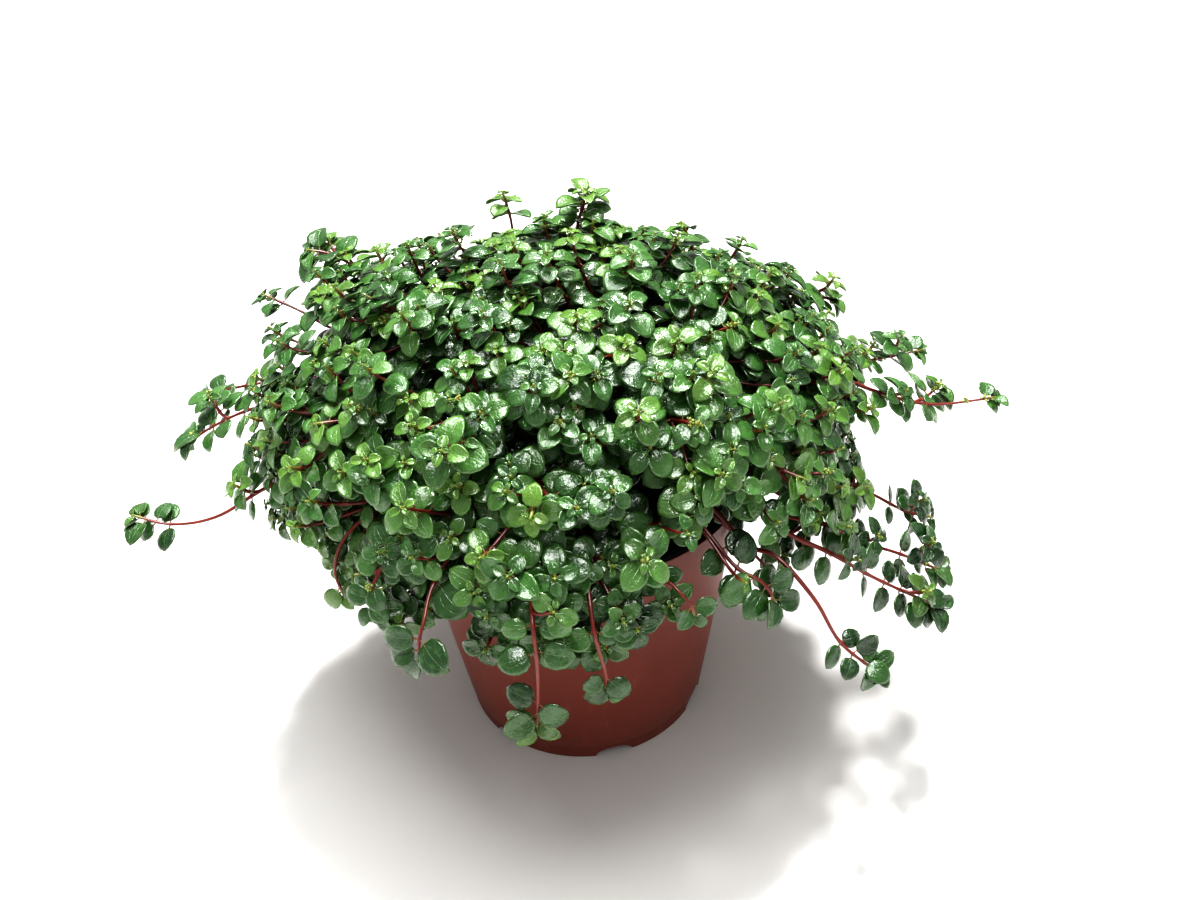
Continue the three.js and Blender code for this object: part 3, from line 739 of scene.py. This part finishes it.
def tube(shape, line, radius, sides, **values):
    """A round tube along a line: circles about its points, square to it, closed by a point at each
    end. Each circle starts in the direction of the one before, so the tube doesn't twist."""
    p = line.points
    t = unit(np.gradient(p, axis=0))
    x = np.zeros_like(p)
    guide = np.cross(t[0], [0.31, 0.17, 0.9])
    for i in range(len(p)):
        guide = guide - (guide @ t[i]) * t[i]
        x[i] = guide = unit(guide)
    y = np.cross(t, x)
    angle = 2 * math.pi * np.arange(sides) / sides
    r = np.asarray(radius)[:, None, None]
    rings = p[:, None] + r * (
        x[:, None] * np.cos(angle)[:, None] + y[:, None] * np.sin(angle)[:, None]
    )
    n = len(p) * sides
    ends = np.stack([p[0] - t[0] * radius[0] * 0.5, p[-1] + t[-1] * radius[-1]])
    faces = np.vstack(
        [
            ring_faces(len(p), sides),
            fan_faces(n, 0, sides, False),
            fan_faces(n + 1, n - sides, sides),
        ]
    )
    spread = {
        key: np.concatenate([np.repeat(v, sides), [v[0], v[-1]]]) for key, v in values.items()
    }
    shape.add(np.vstack([rings.reshape(-1, 3), ends]), faces, **spread)


class Blade:
    """A leaf's mesh in its own frame, for a length of one: X along it, Z up from its face.

    Rings of points run round its middle. A ring at share r of the way to the edge is
        x = 0.5 - 0.5 r cos a + a small point at the tip,
        y = -0.48 r (sin a)^0.88 (1 + 0.12 cos a), broadest a little before the middle,
    for an angle a that is 0 at the base. The lower face is one fan, from a ring a little inside
    the edge to a hub. The blade starts a stalk's length from where the leaf leaves the stem.
    """

    STALK = 0.14

    def __init__(self, around, rings):
        a = 2 * math.pi * np.arange(around) / around
        r = np.array([*rings, 0.95])[:, None]
        point = 0.05 * r**3 * np.exp(-(((a - math.pi) / 0.3) ** 2))
        x = 0.5 - 0.5 * r * np.cos(a) + point
        y = -0.48 * r * np.sign(np.sin(a)) * np.abs(np.sin(a)) ** 0.88 * (1 + 0.12 * np.cos(a))
        self.flat = np.vstack([np.stack([x, y], -1).reshape(-1, 2), [[0.5, 0], [0.5, 0]]])
        self.rim = np.concatenate([np.repeat(r[:, 0], around), [0, 0]])
        below = len(rings) * around
        n = below + around
        self.upper = np.ones(n + 2)
        self.upper[below:n] = 0
        self.upper[n + 1] = 0
        faces = [
            ring_faces(len(rings) + 1, around)[:, ::-1],
            fan_faces(n, 0, around),
            fan_faces(n + 1, below, around, False),
        ]
        self.faces = np.vstack(faces)

    def write(self, shape, leaves, which):
        """Puts the chosen leaves into a shape.

        Height over the flat blade, for x along and y across:
            z = 6 cup y^2 - droop x^2 + dome (1/4 - (distance from the middle)^2) - a crease along
                the midrib. The lower face lies a little under it, the least at the edge.
        """
        if len(which) == 0:
            return
        base, X, Z = leaves.base[which], leaves.x[which], leaves.z[which]
        Y = np.cross(Z, X)
        size = leaves.length[which][:, None]
        droop, cup = leaves.droop[which][:, None], leaves.cup[which][:, None]
        young = leaves.young[which][:, None]
        x, y = self.flat.T
        thick = 0.045 + 0.25 / np.maximum(size, 2) * (1 - 0.75 * self.rim)
        y = y * leaves.wide[which][:, None]
        dome = 0.42 * (1 - 0.8 * young)
        middle = (x - 0.5) ** 2 + y**2
        z = (
            6 * cup * y**2
            - droop * x**2
            + dome * (0.25 - middle)
            - 0.03 * np.exp(-((y / 0.06) ** 2)) * (x > 0.05)
            - (1 - self.upper) * thick
        )
        at = (x + self.STALK)[None] * size
        points = (
            base[:, None]
            + at[..., None] * X[:, None]
            + (y * size)[..., None] * Y[:, None]
            + (z * size)[..., None] * Z[:, None]
        )
        n = len(self.flat)
        # painted shade: leaves are darker the further inside the bush they sit and the lower they hang
        low = np.clip((SHADED_BELOW - base[:, 2]) / SHADED_FADE, 0, 1)
        shade = np.clip(depth_of(base) + 0.35 * low, 0, 1)

        def each(v):
            return np.repeat(v, n)

        shape.add(
            points,
            copied_faces(self.faces, len(which), n),
            along=np.tile(x, len(which)),
            across=np.tile(self.flat[:, 1], len(which)),
            rim=np.tile(self.rim, len(which)),
            upper=np.tile(self.upper, len(which)),
            deep=each(shade),
            fresh=each(leaves.fresh[which]),
            tint=each(leaves.tint[which]),
            spot=each(leaves.spot[which]),
        )


# a bead is an octahedron: its six corners, and its eight faces
BEAD = np.array([(-1, 0, 0), (0, -1, 0), (0, 0, -1), (0, 0, 1), (0, 1, 0), (1, 0, 0)], float)
BEAD_EAST = [(5, 4, 3, -1), (5, 2, 4, -1), (5, 3, 1, -1), (5, 1, 2, -1)]
BEAD_WEST = [(0, 3, 4, -1), (0, 4, 2, -1), (0, 1, 3, -1), (0, 2, 1, -1)]
BEAD_FACES = np.array(BEAD_EAST + BEAD_WEST)


def write_buds(shape, shoot):
    """Clusters of flower buds in the joints of a shoot: small beads scattered in a ball, on the side
    that faces the light. Only some shoots have them."""
    draw = np.random.default_rng(shoot.seed + BUD_SEEDS)
    if draw.random() > BUD_SHARE:
        return
    joints = [d for d, _ in SPRIG[2:6]]
    for d in draw.choice(joints, 2, replace=False):
        if d > shoot.line.length - 5:
            continue
        s = shoot.line.length - d
        joint = shoot.line.point(s)
        heart = joint + light_at(joint) + draw.normal(0, 0.5, 3)
        count = draw.integers(9, 16)
        at = heart + unit(draw.normal(size=(count, 3))) * draw.uniform(0.3, 1.5, (count, 1))
        beads = at[:, None] + BEAD * draw.uniform(0.35, 0.62, (count, 1, 1))
        shape.add(beads, copied_faces(BEAD_FACES, count, len(BEAD)), slot=1, fresh=1.0, deep=0.0)


def write_stalks(shape, leaves, which):
    """The short stalks of leaves: four-sided, from the stem to a little way under the blade."""
    for i in which:
        size, X, Z = leaves.length[i], leaves.x[i], leaves.z[i]
        start = leaves.base[i]
        end = start + X * size * (Blade.STALK + 0.1)
        bend = (start + end) / 2 - Z * 0.05 * size
        line = Line(bezier(start, bend, end, 4))
        thick = np.array([0.3, 0.24, 0.24, 0.2]) * (0.4 + 0.6 * size / 8)
        fresh = np.full(4, 0.6 + 0.4 * leaves.young[i])
        # the stalk takes the painted shade of where it leaves the stem
        tube(shape, line, thick, 4, fresh=fresh, deep=np.repeat(depth_of(start), 4))


# ---------------------------------------------------------------- finishes


class Wire:
    """A socket of a finish. Arithmetic on it adds Math nodes."""

    def __init__(self, finish, socket):
        self.finish = finish
        self.socket = socket

    def maths(self, operation, *values):
        return self.finish.node("Math", {"operation": operation}, dict(enumerate(values)))

    def __add__(self, other):
        return self.maths("ADD", self, other)

    def __sub__(self, other):
        return self.maths("SUBTRACT", self, other)

    def __rsub__(self, other):
        return self.maths("SUBTRACT", other, self)

    def __mul__(self, other):
        return self.maths("MULTIPLY", self, other)

    def clamped(self):
        return self.maths("MINIMUM", self.maths("MAXIMUM", self, 0.0), 1.0)

    def absolute(self):
        return self.maths("ABSOLUTE", self)

    def sine(self):
        return self.maths("SINE", self)

    __radd__ = __add__


class Finish:
    """A material under construction."""

    def __init__(self, name):
        self.material = bpy.data.materials.new(name)
        self.material.use_nodes = True
        self.tree = self.material.node_tree
        self.tree.nodes.clear()
        self.place = self.node("TexCoord", out="Object")

    def node(self, kind, settings=None, inputs=None, out=0):
        """Adds a node: its settings first, then the values or links of its sockets."""
        node = self.tree.nodes.new("ShaderNode" + kind)
        for key, value in (settings or {}).items():
            if key == "stops":
                ramp = node.color_ramp
                while len(ramp.elements) < len(value):
                    ramp.elements.new(0.5)
                for element, (position, colour) in zip(ramp.elements, value):
                    element.position = position
                    element.color = (*colour, 1)
            else:
                setattr(node, key, value)
        for key, value in (inputs or {}).items():
            socket = node.inputs[key]
            if isinstance(value, Wire):
                self.tree.links.new(value.socket, socket)
            elif socket.type == "RGBA" and len(value) == 3:
                socket.default_value = (*value, 1)
            else:
                socket.default_value = value
        return Wire(self, node.outputs[out])

    def value(self, name):
        """A value kept on the mesh."""
        return self.node("Attribute", {"attribute_name": name}, out="Fac")

    def noise(self, size, detail, roughness=0.5, where=None):
        """Noise with grains of about a size in mm."""
        sockets = {
            "Vector": where or self.place,
            "Scale": 1 / (size * MM),
            "Detail": detail,
            "Roughness": roughness,
        }
        return self.node("TexNoise", None, sockets)

    def cells(self, size):
        """Distance to the nearest of points scattered a size in mm apart."""
        sockets = {"Vector": self.place, "Scale": 1 / (size * MM)}
        return self.node("TexVoronoi", None, sockets, out="Distance")

    def mix(self, share, a, b):
        """Colour a, or colour b where share is one."""
        return self.node("Mix", {"data_type": "RGBA"}, {0: share, 6: a, 7: b}, out=2)

    def ramp(self, wire, stops):
        """The colour of stops, each (position, colour), at a value."""
        return self.node("ValToRGB", {"stops": stops}, {0: wire}, out="Color")

    def smooth(self, wire, low, high):
        """0 below low and 1 above high, with a smooth rise between."""
        sockets = {"Value": wire, "From Min": low, "From Max": high}
        return self.node("MapRange", {"interpolation_type": "SMOOTHSTEP"}, sockets)

    def bump(self, height, distance, strength):
        """Bumps as tall as a distance in mm where the height is one."""
        sockets = {"Height": height, "Distance": distance * MM, "Strength": strength}
        return self.node("Bump", None, sockets)

    def done(self, **sockets):
        """Ends in a Principled shader; names of sockets have spaces where these have underscores."""
        inputs = {key.replace("_", " "): value for key, value in sockets.items()}
        shader = self.node("BsdfPrincipled", None, inputs)
        output = self.tree.nodes.new("ShaderNodeOutputMaterial")
        self.tree.links.new(shader.socket, output.inputs["Surface"])
        return self.material


def leaf_finish():
    """Leathery leaf: glossy and finely quilted, dark green, yellow-green when young, pale beneath, and
    darkened by painted shade inside and low in the bush.
    """
    f = Finish("leaf")
    tint, fresh, upper, deep = (f.value(name) for name in ("tint", "fresh", "upper", "deep"))
    along, across, rim = f.value("along"), f.value("across"), f.value("rim")
    clouds = f.noise(2.4, 3)
    grain = f.noise(0.38, 2, 0.6)
    quilt = f.cells(0.8)
    greens = [(0.0, (0.015, 0.058, 0.013)), (0.5, (0.058, 0.180, 0.033)), (1.0, (0.14, 0.30, 0.065))]
    green = f.ramp(tint, greens)
    green = f.mix(f.smooth(clouds, 0.45, 0.75) * 0.4, green, (0.12, 0.27, 0.085))
    # pale silver-grey flecks: the leaf's own dusting, and partly a painted sheen
    silver_and_sheen = f.smooth(grain, 0.5, 0.72) * (0.1 + f.smooth(clouds, 0.4, 0.7) * 0.35) * (tint + 0.25)
    green = f.mix(silver_and_sheen, green, (0.27, 0.40, 0.26))
    young = f.mix(f.smooth(fresh, 0.15, 1.0) * 0.85, green, (0.20, 0.37, 0.045))
    arc = (along * math.pi).sine() * 0.2
    side_vein = (across.absolute() - arc).absolute()
    vein = 1 - f.smooth(across.absolute(), 0.0, 0.025) + (1 - f.smooth(side_vein, 0.0, 0.02)) * 0.5
    vein = vein.clamped()
    veined = f.mix(vein * 0.3, young, (0.20, 0.36, 0.10))
    edge = f.mix(f.smooth(rim, 0.9, 1.0) * 0.4, veined, (0.20, 0.36, 0.09))
    blotches = f.smooth(f.noise(1.3, 2), 0.56, 0.62) * f.value("spot")
    spotted = f.mix(blotches, edge, (0.10, 0.040, 0.012))
    under = f.mix(tint, (0.06, 0.13, 0.04), (0.11, 0.21, 0.06))
    colour = f.mix(upper, under, spotted)
    # painted shade: leaves inside and low in the bush are darkened to near black
    colour = f.mix(deep * 0.85, colour, (0.002, 0.012, 0.003))
    height = f.noise(1.8, 1) * 0.8 - quilt * 0.6 + grain * 0.3 - vein * 0.4
    rough = 0.50 - upper * 0.30 + (grain - 0.5) * 0.3
    return f.done(
        Base_Color=colour,
        Roughness=rough.clamped(),
        Normal=f.bump(height, 0.24, 0.8),
        Specular_IOR_Level=0.55,
        Coat_Weight=upper * 0.45,
        Coat_Roughness=0.08,
    )


def stem_finish():
    """Crimson stem, greener where it is young, and darkened by painted shade inside the bush."""
    f = Finish("stem")
    fresh, deep = f.value("fresh"), f.value("deep")
    old = f.mix(f.noise(3, 3), (0.13, 0.010, 0.008), (0.34, 0.050, 0.030))
    colour = f.mix(f.smooth(fresh, 0.45, 1.0), old, (0.25, 0.32, 0.05))
    # painted shade: stems inside the bush are darkened
    colour = f.mix(deep * 0.8, colour, (0.03, 0.004, 0.003))
    return f.done(
        Base_Color=colour,
        Roughness=0.33,
        Normal=f.bump(f.noise(0.7, 2), 0.08, 0.3),
        Coat_Weight=0.3,
        Coat_Roughness=0.2,
    )


def pot_finish():
    """Red-brown moulded plastic with a fine matte grain, pale streaks that are partly scuffs and partly
    painted sheen, and dust from the soil.
    """
    f = Finish("pot_outside")
    broad = f.noise(28, 4, 0.6)
    fine = f.noise(0.35, 2)
    colour = f.mix(broad, (0.135, 0.020, 0.009), (0.20, 0.037, 0.018))
    flow = f.node("Mapping", {"vector_type": "TEXTURE"}, {"Vector": f.place, "Scale": (1, 1, 5)})
    # pale streaks running up the wall: partly scuffs, partly a painted sheen
    scuff_and_sheen = f.smooth(f.noise(3.5, 4, 0.65, where=flow), 0.56, 0.8)
    colour = f.mix(scuff_and_sheen * 0.3, colour, (0.34, 0.15, 0.11))
    crumbs = f.smooth(f.noise(2.0, 3, 0.7), 0.70, 0.73)
    colour = f.mix(crumbs * 0.8, colour, (0.03, 0.014, 0.01))
    rough = 0.40 + broad * 0.12 + scuff_and_sheen * 0.15
    return f.done(
        Base_Color=colour,
        Roughness=rough,
        Normal=f.bump(fine + broad * 1.5, 0.05, 0.35),
        Specular_IOR_Level=0.5,
    )


def inside_finish():
    """Black plastic of the pot's inside, slightly satin, with dust."""
    f = Finish("pot_inside")
    dust = f.smooth(f.noise(2.0, 4, 0.7), 0.5, 0.8)
    colour = f.mix(dust * 0.5, (0.012, 0.012, 0.014), (0.05, 0.042, 0.036))
    return f.done(
        Base_Color=colour, Roughness=0.38 + dust * 0.25, Normal=f.bump(f.noise(0.5, 2), 0.05, 0.3)
    )


def soil_finish():
    """Damp peat with paler bark."""
    f = Finish("soil")
    chunk = f.noise(2.2, 4, 0.7)
    browns = [(0.3, (0.012, 0.007, 0.004)), (0.6, (0.04, 0.024, 0.014)), (0.8, (0.10, 0.06, 0.035))]
    colour = f.ramp(chunk, browns)
    return f.done(Base_Color=colour, Roughness=0.9, Normal=f.bump(f.noise(0.6, 4, 0.7), 0.5, 0.7))


def crumb_finish():
    """Bark crumbs: from nearly black to a mid brown."""
    f = Finish("crumbs")
    colour = f.mix(f.value("tint"), (0.02, 0.011, 0.006), (0.12, 0.065, 0.035))
    return f.done(Base_Color=colour, Roughness=0.85, Normal=f.bump(f.noise(0.4, 3), 0.2, 0.6))


def bud_finish():
    """Flower buds: pale yellow-green beads."""
    f = Finish("bud")
    colour = f.mix(f.noise(0.6, 2), (0.30, 0.40, 0.06), (0.62, 0.66, 0.22))
    return f.done(Base_Color=colour, Roughness=0.5, Normal=f.bump(f.noise(0.3, 2), 0.1, 0.5))


def floor_finish():
    """Plain pale floor."""
    f = Finish("floor")
    colour = f.mix(f.noise(900, 2), (0.82, 0.81, 0.785), (0.85, 0.84, 0.82))
    return f.done(Base_Color=colour, Roughness=0.7)


# ---------------------------------------------------------------- pot and soil


def wall_radius(z):
    """Outer radius of the tapered wall at a height."""
    return BASE_RADIUS + (RIM_RADIUS - BASE_RADIUS) * (z - STEP_HEIGHT) / (POT_HEIGHT - STEP_HEIGHT)


def rounded(corners, radius, steps=4):
    """A profile whose corners are each replaced by a short Bezier bend of about a radius."""
    c = np.array(corners, float)
    points = [c[:1]]
    for before, here, after in zip(c, c[1:], c[2:]):
        a, b = before - here, after - here
        reach = min(radius, 0.45 * np.linalg.norm(a), 0.45 * np.linalg.norm(b))
        points.append(bezier(here + unit(a) * reach, here, here + unit(b) * reach, steps))
    return np.vstack([*points, c[-1:]])


def pot_profile():
    """The pot's section, as (radius, height): under the base, up the outside, over the rim and down
    the inside, with rounded corners."""
    bead = RIM_RADIUS - RIM_WIDTH
    bead_end = POT_HEIGHT - 2 * RIM_WIDTH
    floor_top = CHANNEL_RISE + FLOOR
    under = [
        (3, 0),
        (DISC_RADIUS, 0),
        (DISC_RADIUS + 2, CHANNEL_RISE),
        (FOOT_RADIUS - FOOT_WIDTH - 1, CHANNEL_RISE),
        (FOOT_RADIUS - FOOT_WIDTH, 0),
        (FOOT_RADIUS, 0),
    ]
    outer = [
        (FOOT_RADIUS, STEP_HEIGHT - 1.1),
        (BASE_RADIUS - 0.1, STEP_HEIGHT - 0.2),
        (wall_radius(9), 9),
        (wall_radius(50), 50),
        (RIM_RADIUS, POT_HEIGHT - 0.5),
    ]
    inner = [
        (RIM_RADIUS - 0.5, POT_HEIGHT - 0.3),
        (RIM_RADIUS - 0.9, POT_HEIGHT - 0.9),
        (RIM_RADIUS - 1.4, POT_HEIGHT - 0.1),
        (bead + 0.9, POT_HEIGHT),
        (bead, POT_HEIGHT - 1),
        (bead, POT_HEIGHT - RIM_WIDTH),
        (wall_radius(bead_end) - WALL, bead_end),
        (wall_radius(floor_top) - WALL, floor_top),
        (DISC_RADIUS + 1, floor_top),
        (DISC_RADIUS - 1, FLOOR),
        (3, FLOOR),
    ]
    return rounded(under + outer + inner, 0.45)


def make_pot(outside, inside):
    """The pot: its section turned about Z. The foot's lower edge rises over each notch, by a smooth
    step in the angle from the notch's middle. The drain holes are cut last."""
    profile = pot_profile()
    # the black finish starts just over the rim's outer edge
    first_inside = int(np.argmax(profile[:, 1] > POT_HEIGHT - 0.45)) + 4
    half = NOTCH_WIDTH / 2 / FOOT_RADIUS
    centres = NOTCH_ANGLE + 2 * math.pi * np.arange(NOTCHES) / NOTCHES
    # the steps of the angle are finer at both ends of each notch
    fine = np.linspace(-0.02, 0.004, 7)
    edges = [centres[:, None] + side * (half + fine) for side in (-1, 1)]
    even = 2 * math.pi * np.arange(POT_SIDES) / POT_SIDES
    angles = np.concatenate([even, np.ravel(edges)])
    angles = np.unique(np.round(angles % (2 * math.pi), 4))
    apart = np.abs((angles[:, None] - centres + math.pi) % (2 * math.pi) - math.pi).min(1)
    arch = np.clip(1 - (apart / half) ** 2.4, 0, 1) ** 0.6
    r, z = profile.T
    low = np.clip(1 - z / NOTCH_HEIGHT, 0, 1) * (r > FOOT_RADIUS - FOOT_WIDTH - 0.9)
    z = z[:, None] + arch * low[:, None] * NOTCH_HEIGHT
    rings = np.stack([r[:, None] * np.cos(angles), r[:, None] * np.sin(angles), z], -1)
    around, count = len(angles), len(profile)
    hubs = [(0, 0, 0), (0, 0, FLOOR)]
    points = np.vstack([rings.reshape(-1, 3), hubs])
    faces = [
        fan_faces(len(points) - 2, 0, around, False),
        ring_faces(count, around),
        fan_faces(len(points) - 1, (count - 1) * around, around),
    ]
    faces = np.vstack(faces)
    shape = Shape()
    shape.add(points, faces, slot=np.arange(len(faces)) // around > first_inside)
    pot = shape.piece("pot_body", "pot_plastic", outside, inside, sharp=40)
    drill(pot, centres, CHANNEL_RISE - 1, CHANNEL_RISE + FLOOR + 1)
    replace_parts(pot, "pot")


def drill(pot, angles, low, high):
    """Cuts the round drain holes through the pot's floor, one at each angle."""
    around = 32
    turns = 2 * math.pi * np.arange(around) / around
    wheel = DRAIN_RADIUS * np.stack([np.cos(turns), np.sin(turns)], -1)
    middle = DRAIN_RING * np.stack([np.cos(angles), np.sin(angles)], -1)
    points, faces = [], []
    for centre in middle:
        first = len(points)
        points += [(*p, z) for z in (low, high) for p in centre + wheel]
        ring = first + np.arange(around)
        after = np.roll(ring, -1)
        faces += np.stack([ring, after, after + around, ring + around], -1).tolist()
        faces += [ring[::-1].tolist(), (ring + around).tolist()]
    mesh = bpy.data.meshes.new("drains")
    mesh.from_pydata((np.array(points) * MM).tolist(), [], faces)
    cutter = bpy.data.objects.new("drains", mesh)
    bpy.context.scene.collection.objects.link(cutter)
    cut = pot.modifiers.new("drains", "BOOLEAN")
    cut.operation, cut.solver, cut.object = "DIFFERENCE", "EXACT", cutter
    whole = pot.evaluated_get(bpy.context.evaluated_depsgraph_get())
    pot.data = bpy.data.meshes.new_from_object(whole)
    pot.modifiers.remove(cut)
    bpy.data.objects.remove(cutter)


def make_soil(finish):
    """The bed of peat: rings whose height is a crown, less a drop at the wall, plus bumps of three
    sizes, and a flat bottom on the pot's floor."""
    rng = np.random.default_rng(5)
    around, rings = 160, 46
    radius = wall_radius(SOIL_TOP) - WALL - SOIL_GAP
    r = np.linspace(1, 0.01, rings)[:, None] * radius
    a = 2 * math.pi * np.arange(around) / around
    x, y = r * np.cos(a), r * np.sin(a)
    z = SOIL_TOP + SOIL_CROWN * (1 - (r / radius) ** 2) - SOIL_EDGE_DROP * (r / radius) ** 12
    for size, height in ((9, 0.9), (4, 0.6), (2, 0.35)):
        for _ in range(5):
            k = unit(rng.normal(size=2)) * 2 * math.pi / (size * rng.uniform(0.8, 1.3))
            z = z + height / 2.2 * np.sin(k[0] * x + k[1] * y + rng.uniform(0, 6.3)) * (r > 2)
    top = np.stack([x, y, z], -1)
    low = CHANNEL_RISE + FLOOR + SOIL_GAP
    skirt = wall_radius(low) - WALL - SOIL_GAP
    bottom = [np.stack([s * np.cos(a), s * np.sin(a), np.full(around, low)], -1) for s in (0.5, skirt)]
    points = np.concatenate([bottom, top])
    shape = Shape()
    count = len(points)
    faces = ring_faces(count, around)
    n = count * around
    hubs = np.array([[0, 0, low], top[-1].mean(0)])
    caps = np.vstack([fan_faces(n, 0, around, False), fan_faces(n + 1, n - around, around)])
    shape.add(np.vstack([points.reshape(-1, 3), hubs]), np.vstack([faces, caps]))
    soil = shape.piece("soil_bed", "potting_soil", finish)
    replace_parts(soil, "soil")


def make_crumbs(finish):
    """Crumbs of bark and peat on the soil: cubes with their corners moved at random."""
    rng = np.random.default_rng(6)
    shape = Shape()
    cube = np.array([(x, y, z) for x in (-1, 1) for y in (-1, 1) for z in (-1, 1)], float)
    faces = np.array([(0, 1, 3, 2), (4, 6, 7, 5), (0, 4, 5, 1), (2, 3, 7, 6), (0, 2, 6, 4), (1, 5, 7, 3)])
    count = 900
    radius = wall_radius(SOIL_TOP) - WALL - 2.5
    r = radius * np.sqrt(rng.random(count))
    a = rng.uniform(0, 2 * math.pi, count)
    size = rng.uniform(0.35, 1.5, (count, 1)) * rng.uniform(0.5, 1.2, (count, 3))
    ax = unit(rng.normal(size=(count, 3)))
    az = unit(np.cross(ax, rng.normal(size=(count, 3))))
    ay = np.cross(az, ax)
    height = SOIL_TOP + SOIL_CROWN * (1 - (r / radius) ** 2) + rng.uniform(-0.2, 0.8, count)
    at = np.stack([r * np.cos(a), r * np.sin(a), height], -1)
    corners = cube * rng.uniform(0.6, 1.1, (count, 8, 3)) * size[:, None]
    axes = np.stack([ax, ay, az], 1)
    points = at[:, None] + (corners[..., None] * axes[:, None]).sum(2)
    shape.add(points, copied_faces(faces, count, 8), tint=np.repeat(rng.random(count), 8))
    shape.piece("soil_crumbs", "potting_soil", finish, sharp=30)


# ---------------------------------------------------------------- the plant


def make_plant(shoots, leaves):
    """One piece of stems and one of leaves for each of the model's leafy stems."""
    leaf, stem, bud = leaf_finish(), stem_finish(), bud_finish()
    full, small = Blade(12, (0.42, 0.8, 1.0)), Blade(8, (0.55, 1.0))
    nodes = np.array(leaves.node)
    for name in sorted({shoot.node for shoot in shoots}):
        stalks = Shape()
        for shoot in shoots:
            if shoot.node != name:
                continue
            step, sides = STEM_MESH if shoot.radius == STEM_RADIUS else TWIG_MESH
            line = shoot.line.evenly(step)
            fresh = np.clip((line.at - line.length + GREEN_TIP) / GREEN_TIP, 0, 1)
            # painted shade of the stems, by how far inside the bush they run
            deep = depth_of(line.points)
            tube(stalks, line, shoot.radius_at(line.at), sides, fresh=fresh, deep=deep)
            write_buds(stalks, shoot)
        which = np.nonzero(nodes == name)[0]
        write_stalks(stalks, leaves, which)
        blades = Shape()
        length = leaves.length[which]
        full.write(blades, leaves, which[length >= SMALL_LEAF])
        small.write(blades, leaves, which[length < SMALL_LEAF])
        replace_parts(stalks.piece(f"{name}_stems", "foliage", stem, bud), name)
        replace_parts(blades.piece(f"{name}_leaves", "foliage", leaf), name)


# ---------------------------------------------------------------- stage, light and camera

# the camera's place, what it looks at and its roll, found from the ellipses of the pot's rim and
# base, and its focal length in pixels of a picture of this width
CAMERA_PLACE = np.array([0, -267, 276])
CAMERA_TARGET = np.array([9.79, 0, 104.47])
CAMERA_ROLL = np.radians(-2.8)
FOCAL_PIXELS, IMAGE_WIDTH = 903, 1200
SENSOR = 36


def make_floor(finish):
    """A plain pale floor, 12 m square."""
    size = 6
    mesh = bpy.data.meshes.new("floor")
    corners = [(-size, -size, 0), (size, -size, 0), (size, size, 0), (-size, size, 0)]
    mesh.from_pydata(corners, [], [(0, 1, 2, 3)])
    mesh.materials.append(finish)
    floor = bpy.data.objects.new("floor", mesh)
    bpy.context.scene.collection.objects.link(floor)


def light(name, kind, energy, place, **settings):
    """A lamp at a place in metres, which shines towards the origin."""
    data = bpy.data.lights.new(name, kind)
    data.energy = energy
    for key, value in settings.items():
        setattr(data, key, value)
    obj = bpy.data.objects.new(name, data)
    x, y, z = place
    obj.location = place
    obj.rotation_euler = (math.atan2(math.hypot(x, y), z), 0, math.atan2(x, -y))
    bpy.context.scene.collection.objects.link(obj)
    return obj


def make_lights():
    """A plain studio: a pale surround, soft light from above and behind, and a lamp in front that is
    seen in gloss only."""
    world = bpy.data.worlds.new("studio")
    world.use_nodes = True
    background = world.node_tree.nodes["Background"]
    background.inputs["Color"].default_value = (1, 1, 1, 1)
    background.inputs["Strength"].default_value = 0.42
    bpy.context.scene.world = world

    light("key", "SUN", 2.7, (0.08, 0.42, 1.0), angle=math.radians(6))
    light("softbox", "AREA", 10, (-0.1, 0.15, 1.2), size=0.8)
    sheen = light("sheen", "AREA", 10, (0.1, -0.45, 1.0), size=0.5)
    sheen.visible_diffuse = False


def make_camera():
    """The camera at the photo's viewing angle, and how brightness becomes colour."""
    back = unit(CAMERA_PLACE - CAMERA_TARGET)
    right = turned(unit(np.cross([0, 0, 1], back)), back, CAMERA_ROLL)
    up = np.cross(back, right)
    data = bpy.data.cameras.new("camera")
    data.sensor_width = SENSOR
    data.lens = SENSOR * FOCAL_PIXELS / IMAGE_WIDTH
    camera = bpy.data.objects.new("camera", data)
    matrix = np.eye(4)
    matrix[:3, 0], matrix[:3, 1], matrix[:3, 2] = right, up, back
    matrix[:3, 3] = CAMERA_PLACE * MM
    camera.matrix_world = Matrix(matrix.tolist())
    bpy.context.scene.collection.objects.link(camera)
    bpy.context.scene.camera = camera
    bpy.context.scene.view_settings.view_transform = "Standard"
    bpy.context.scene.view_settings.look = "High Contrast"


make_floor(floor_finish())
make_lights()
make_camera()
make_pot(pot_finish(), inside_finish())
make_soil(soil_finish())
make_crumbs(crumb_finish())
shoots = grow()
leaves = leafy(shoots)
make_plant(shoots, leaves)
